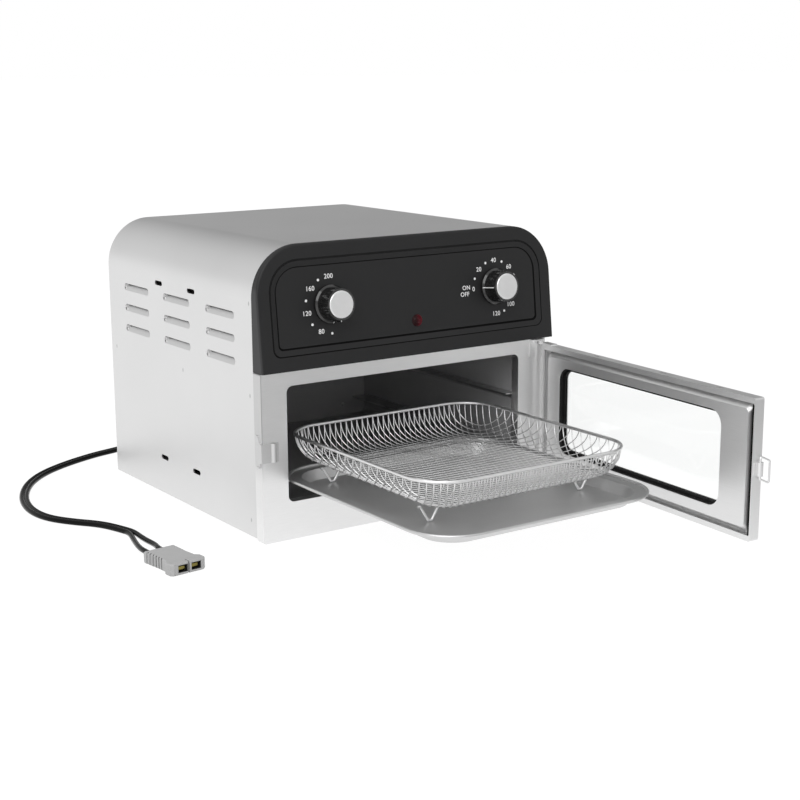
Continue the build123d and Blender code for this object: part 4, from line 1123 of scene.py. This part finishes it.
class OVEN_OT_trim(bpy.types.Operator):
    """Lays painted shade lines round the panel's sunk field, a bead of painted shade in the door's gap and the small
    fasteners
    """

    bl_idname = "oven.trim"
    bl_label = "Trim and fasteners"

    def execute(self, context):
        black = deep_black()
        # Painted shade: near-black bands round the field, widest towards the heavy side where shade falls
        for name, inset, heavy in (("outer_painted_shade_line", OUTER_GROOVE, 125), ("inner_painted_shade_line", INNER_GROOVE, 305)):
            line = self.painted_shade_line(name, inset, math.radians(heavy), black)
            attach(line, "body")
        # Painted shade: a near-black bead where the door's gap lies in shade
        seal = self.painted_gap_shade_bead(black)
        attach(seal, "door")
        bezel = self.bezel(red_lens(context.scene.oven_looks))
        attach(bezel, "body")
        rivets = self.fasteners()
        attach(rivets, "body")
        return {"FINISHED"}

    def painted_shade_line(self, name, inset, heavy, material):
        """A flat near-black band of painted shade over a groove of the panel, closed on itself.

        Its half width is 0.35 mm plus 0.6 mm times half of 1 plus the cosine of the angle between the outline's own
        outward direction and the heavy one. Its edges lie a little above the moulding: the raked face, the slope that
        falls into the field, or the field."""
        middle, inner = field_outline(inset), field_outline(inset + MM)
        inward = (inner - middle) / MM
        outward_angle = np.arctan2(-inward[:, 1], -inward[:, 0])
        half = (0.35 + 0.3 * (1 + np.cos(outward_angle - heavy))) * MM
        rings = []
        for side, sunk in ((-1, 0.0), (1, 0.0), (1, 0.2 * MM), (-1, 0.2 * MM)):
            slope = np.interp(inset + side * half, [OUTER_GROOVE, INNER_GROOVE], [0.0, -FIELD_DEPTH])
            level = slope + 0.04 * MM - sunk
            rings.append(np.concatenate([middle + inward * (side * half)[:, None], level[:, None]], axis=1))
        points = on_panel(np.stack(rings, axis=1).reshape(-1, 3))
        return build_object(name, points, ring_faces(len(points) // 4, 4), material, 20.0)

    def bezel(self, material):
        """A low collar round the lamp lens: a rounded section turned about the lens's axis."""
        section = np.array([(5.6, -0.1), (5.5, 0.5), (5.0, 0.85), (4.4, 0.9), (4.05, 0.5), (4.05, -0.1)]) * MM
        turn = np.arange(40) * 2 * np.pi / 40
        radius, out = section[None, :, 0], section[None, :, 1]
        x = LENS_SPOT[0] + radius * np.cos(turn)[:, None]
        slope = slope_at(LENS_SPOT[1]) + radius * np.sin(turn)[:, None]
        level = np.broadcast_to(out - FIELD_DEPTH, x.shape)
        points = on_panel(np.stack([x, slope, level], axis=-1).reshape(-1, 3))
        return build_object("lens_bezel", points, ring_faces(len(turn), len(section)), material, 60.0)

    def painted_gap_shade_bead(self, material):
        """A near-black bead in the channel between the drawn panel and the door's free end: painted shade of the gap.

        Its section is half of a squared ellipse: both half axes times a cosine or sine held to the power 0.6."""
        turn = np.linspace(np.pi, 0, 12)
        along = 0.2923 - 0.002 * np.sign(np.cos(turn)) * np.abs(np.cos(turn)) ** 0.6
        out = 0.00498 - 0.0037 * np.sin(turn) ** 0.6
        heights = np.array([0.0283, 0.0286, 0.1464, 0.1467])
        points = np.stack([on_door(along, out, z) for z in heights])
        return build_object("door_painted_gap_shade", points.reshape(-1, 3), strip_faces(1, 4, 12), material, 50.0)

    def fasteners(self):
        """Small domed heads on the back panel and on the cavity's back wall."""
        heads = []
        for sign in (-1, 1):
            heads += [((sign * 0.099, 0.121, 0.0436), (0, -1, 0), 0.0019, 0.0009)]
            heads += [((sign * x, 0.1458, z), (0, 1, 0), 0.0032, 0.0011) for x, z in
                      ((0.152, 0.024), (0.152, 0.110), (0.152, 0.196), (0.078, 0.254), (0.026, 0.024))]
        points = np.concatenate([self.head(*head) for head in heads])
        faces = strip_faces(len(heads), 5, 16)
        return build_object("small_fasteners", points, faces, wire_metal("fastener_zinc", 0.66, 0.32), 30.0)

    def head(self, spot, out, radius, height):
        """One head: five rings from inside the sheet outwards, each with its share of the radius and of the height."""
        out = np.array(out, float)
        across = np.cross(out, [0.0, 0.0, 1.0])
        up = np.cross(across, out)
        wide = radius * np.array([1.0, 1.0, 0.92, 0.7, 0.35])
        high = height * np.array([-0.3, 0.25, 0.65, 0.92, 1.0])
        turn = np.arange(16) * 2 * np.pi / 16
        path = np.array(placed(*spot)) + out * high[:, None]
        ring = wide[:, None]
        return carried(path, across[None], up[None], ring * np.cos(turn), ring * np.sin(turn))


class OVEN_OT_finishes(bpy.types.Operator):
    """Gives every part of the oven its finish"""

    bl_idname = "oven.finishes"
    bl_label = "Finishes"

    def execute(self, context):
        look = context.scene.oven_looks
        steel = look.steel[0]
        frame_steel = brushed_steel("brushed_frame_steel", steel, (60, 60, 2500), painted_flank_shade=True)
        # The catch's steel is the frame's, made darker by a fifth: painted shade that sets it apart from the frame
        painted_shade_catch_steel = brushed_steel("brushed_catch_steel", 0.8 * steel, (60, 60, 2500), 0.4)
        door_steel = brushed_steel("brushed_door_steel", steel, (60, 60, 2500), 0.36)
        plated = plated_sheet(look)
        moulding = satin_moulding(look)
        gloss = gloss_black()
        bright_wire = wire_metal("bright_wire", 0.9, 0.28)
        rail_steel = wire_metal("rail_steel", 0.6, 0.28)
        aluminium = brushed_steel("fan_aluminium", 0.7, (700, 700, 60), 0.3)
        dark = dull_steel()
        rubber = matt_rubber("black_rubber", 0.014)
        seal = matt_rubber("seal_rubber", 0.01, 0.4)
        worn = {
            "wrapper": satin_silver(look),
            "back_panel base_plate thermostat_unit timer_unit fan_shroud motor_bracket": plated,
            "front_frame upper_hinge_bracket lower_hinge_bracket": frame_steel,
            "latch_catch": painted_shade_catch_steel,
            "control_fascia lamp_holder": moulding,
            "feet cord_gland": rubber,
            "indicator_lens": red_lens(look),
            "cavity_liner": grey_enamel(look),
            "left_tray_rail right_tray_rail left_rack_rail right_rack_rail fan_guard": rail_steel,
            "heating_element": heated_tube(),
            "fan_motor motor_shaft temperature_shaft timer_shaft": dark,
            "fan_impeller cooling_fan": aluminium,
            "door_skin door_inner_panel door_knuckles latch_keeper": door_steel,
            "latch_bail basket_rim basket_feet": bright_wire,
            "window_gasket": seal,
            "window_glass": clear_glass(),
            "temperature_knob timer_knob": gloss,
            "temperature_knob_cap": spun_cap("spun_cap_left", "temperature", look),
            "timer_knob_cap": spun_cap("spun_cap_right", "timer", look),
            "drip_tray": tray_finish(look),
            "connector_housing": grey_moulding(look),
            "connector_contacts": brass(),
        }
        by_node = {name: finish for names, finish in worn.items() for name in names.split()}
        for name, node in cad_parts.items():
            node.data.materials.clear()
            node.data.materials.append(by_node.get(name, plated))
        return {"FINISHED"}


class OVEN_PT_panel(bpy.types.Panel):
    bl_label = "Air fryer oven"
    bl_idname = "OVEN_PT_panel"
    bl_space_type = "VIEW_3D"
    bl_region_type = "UI"
    bl_category = "Oven"

    def draw(self, context):
        for operator in OPERATORS:
            self.layout.operator(operator.bl_idname)
        for group in (context.scene.oven_looks, context.scene.oven_sizes, context.scene.oven_stage):
            for name in group.__annotations__:
                self.layout.prop(group, name)


GROUPS = {"oven_looks": OvenLooks, "oven_sizes": OvenSizes, "oven_stage": OvenStage}
OPERATORS = [
    OVEN_OT_camera, OVEN_OT_lead, OVEN_OT_finishes, OVEN_OT_basket, OVEN_OT_marks, OVEN_OT_trim, OVEN_OT_stage,
]


def register():
    for kind in (*GROUPS.values(), *OPERATORS, OVEN_PT_panel):
        bpy.utils.register_class(kind)
    for name, kind in GROUPS.items():
        setattr(bpy.types.Scene, name, PointerProperty(type=kind))


def unregister():
    for name in GROUPS:
        delattr(bpy.types.Scene, name)
    for kind in reversed((*GROUPS.values(), *OPERATORS, OVEN_PT_panel)):
        bpy.utils.unregister_class(kind)


def main():
    register()
    bpy.ops.oven.camera()
    bpy.ops.oven.lead()
    bpy.ops.oven.finishes()
    bpy.ops.oven.basket()
    bpy.ops.oven.marks()
    bpy.ops.oven.trim()
    bpy.ops.oven.stage()


if __name__ == "__main__":
    main()
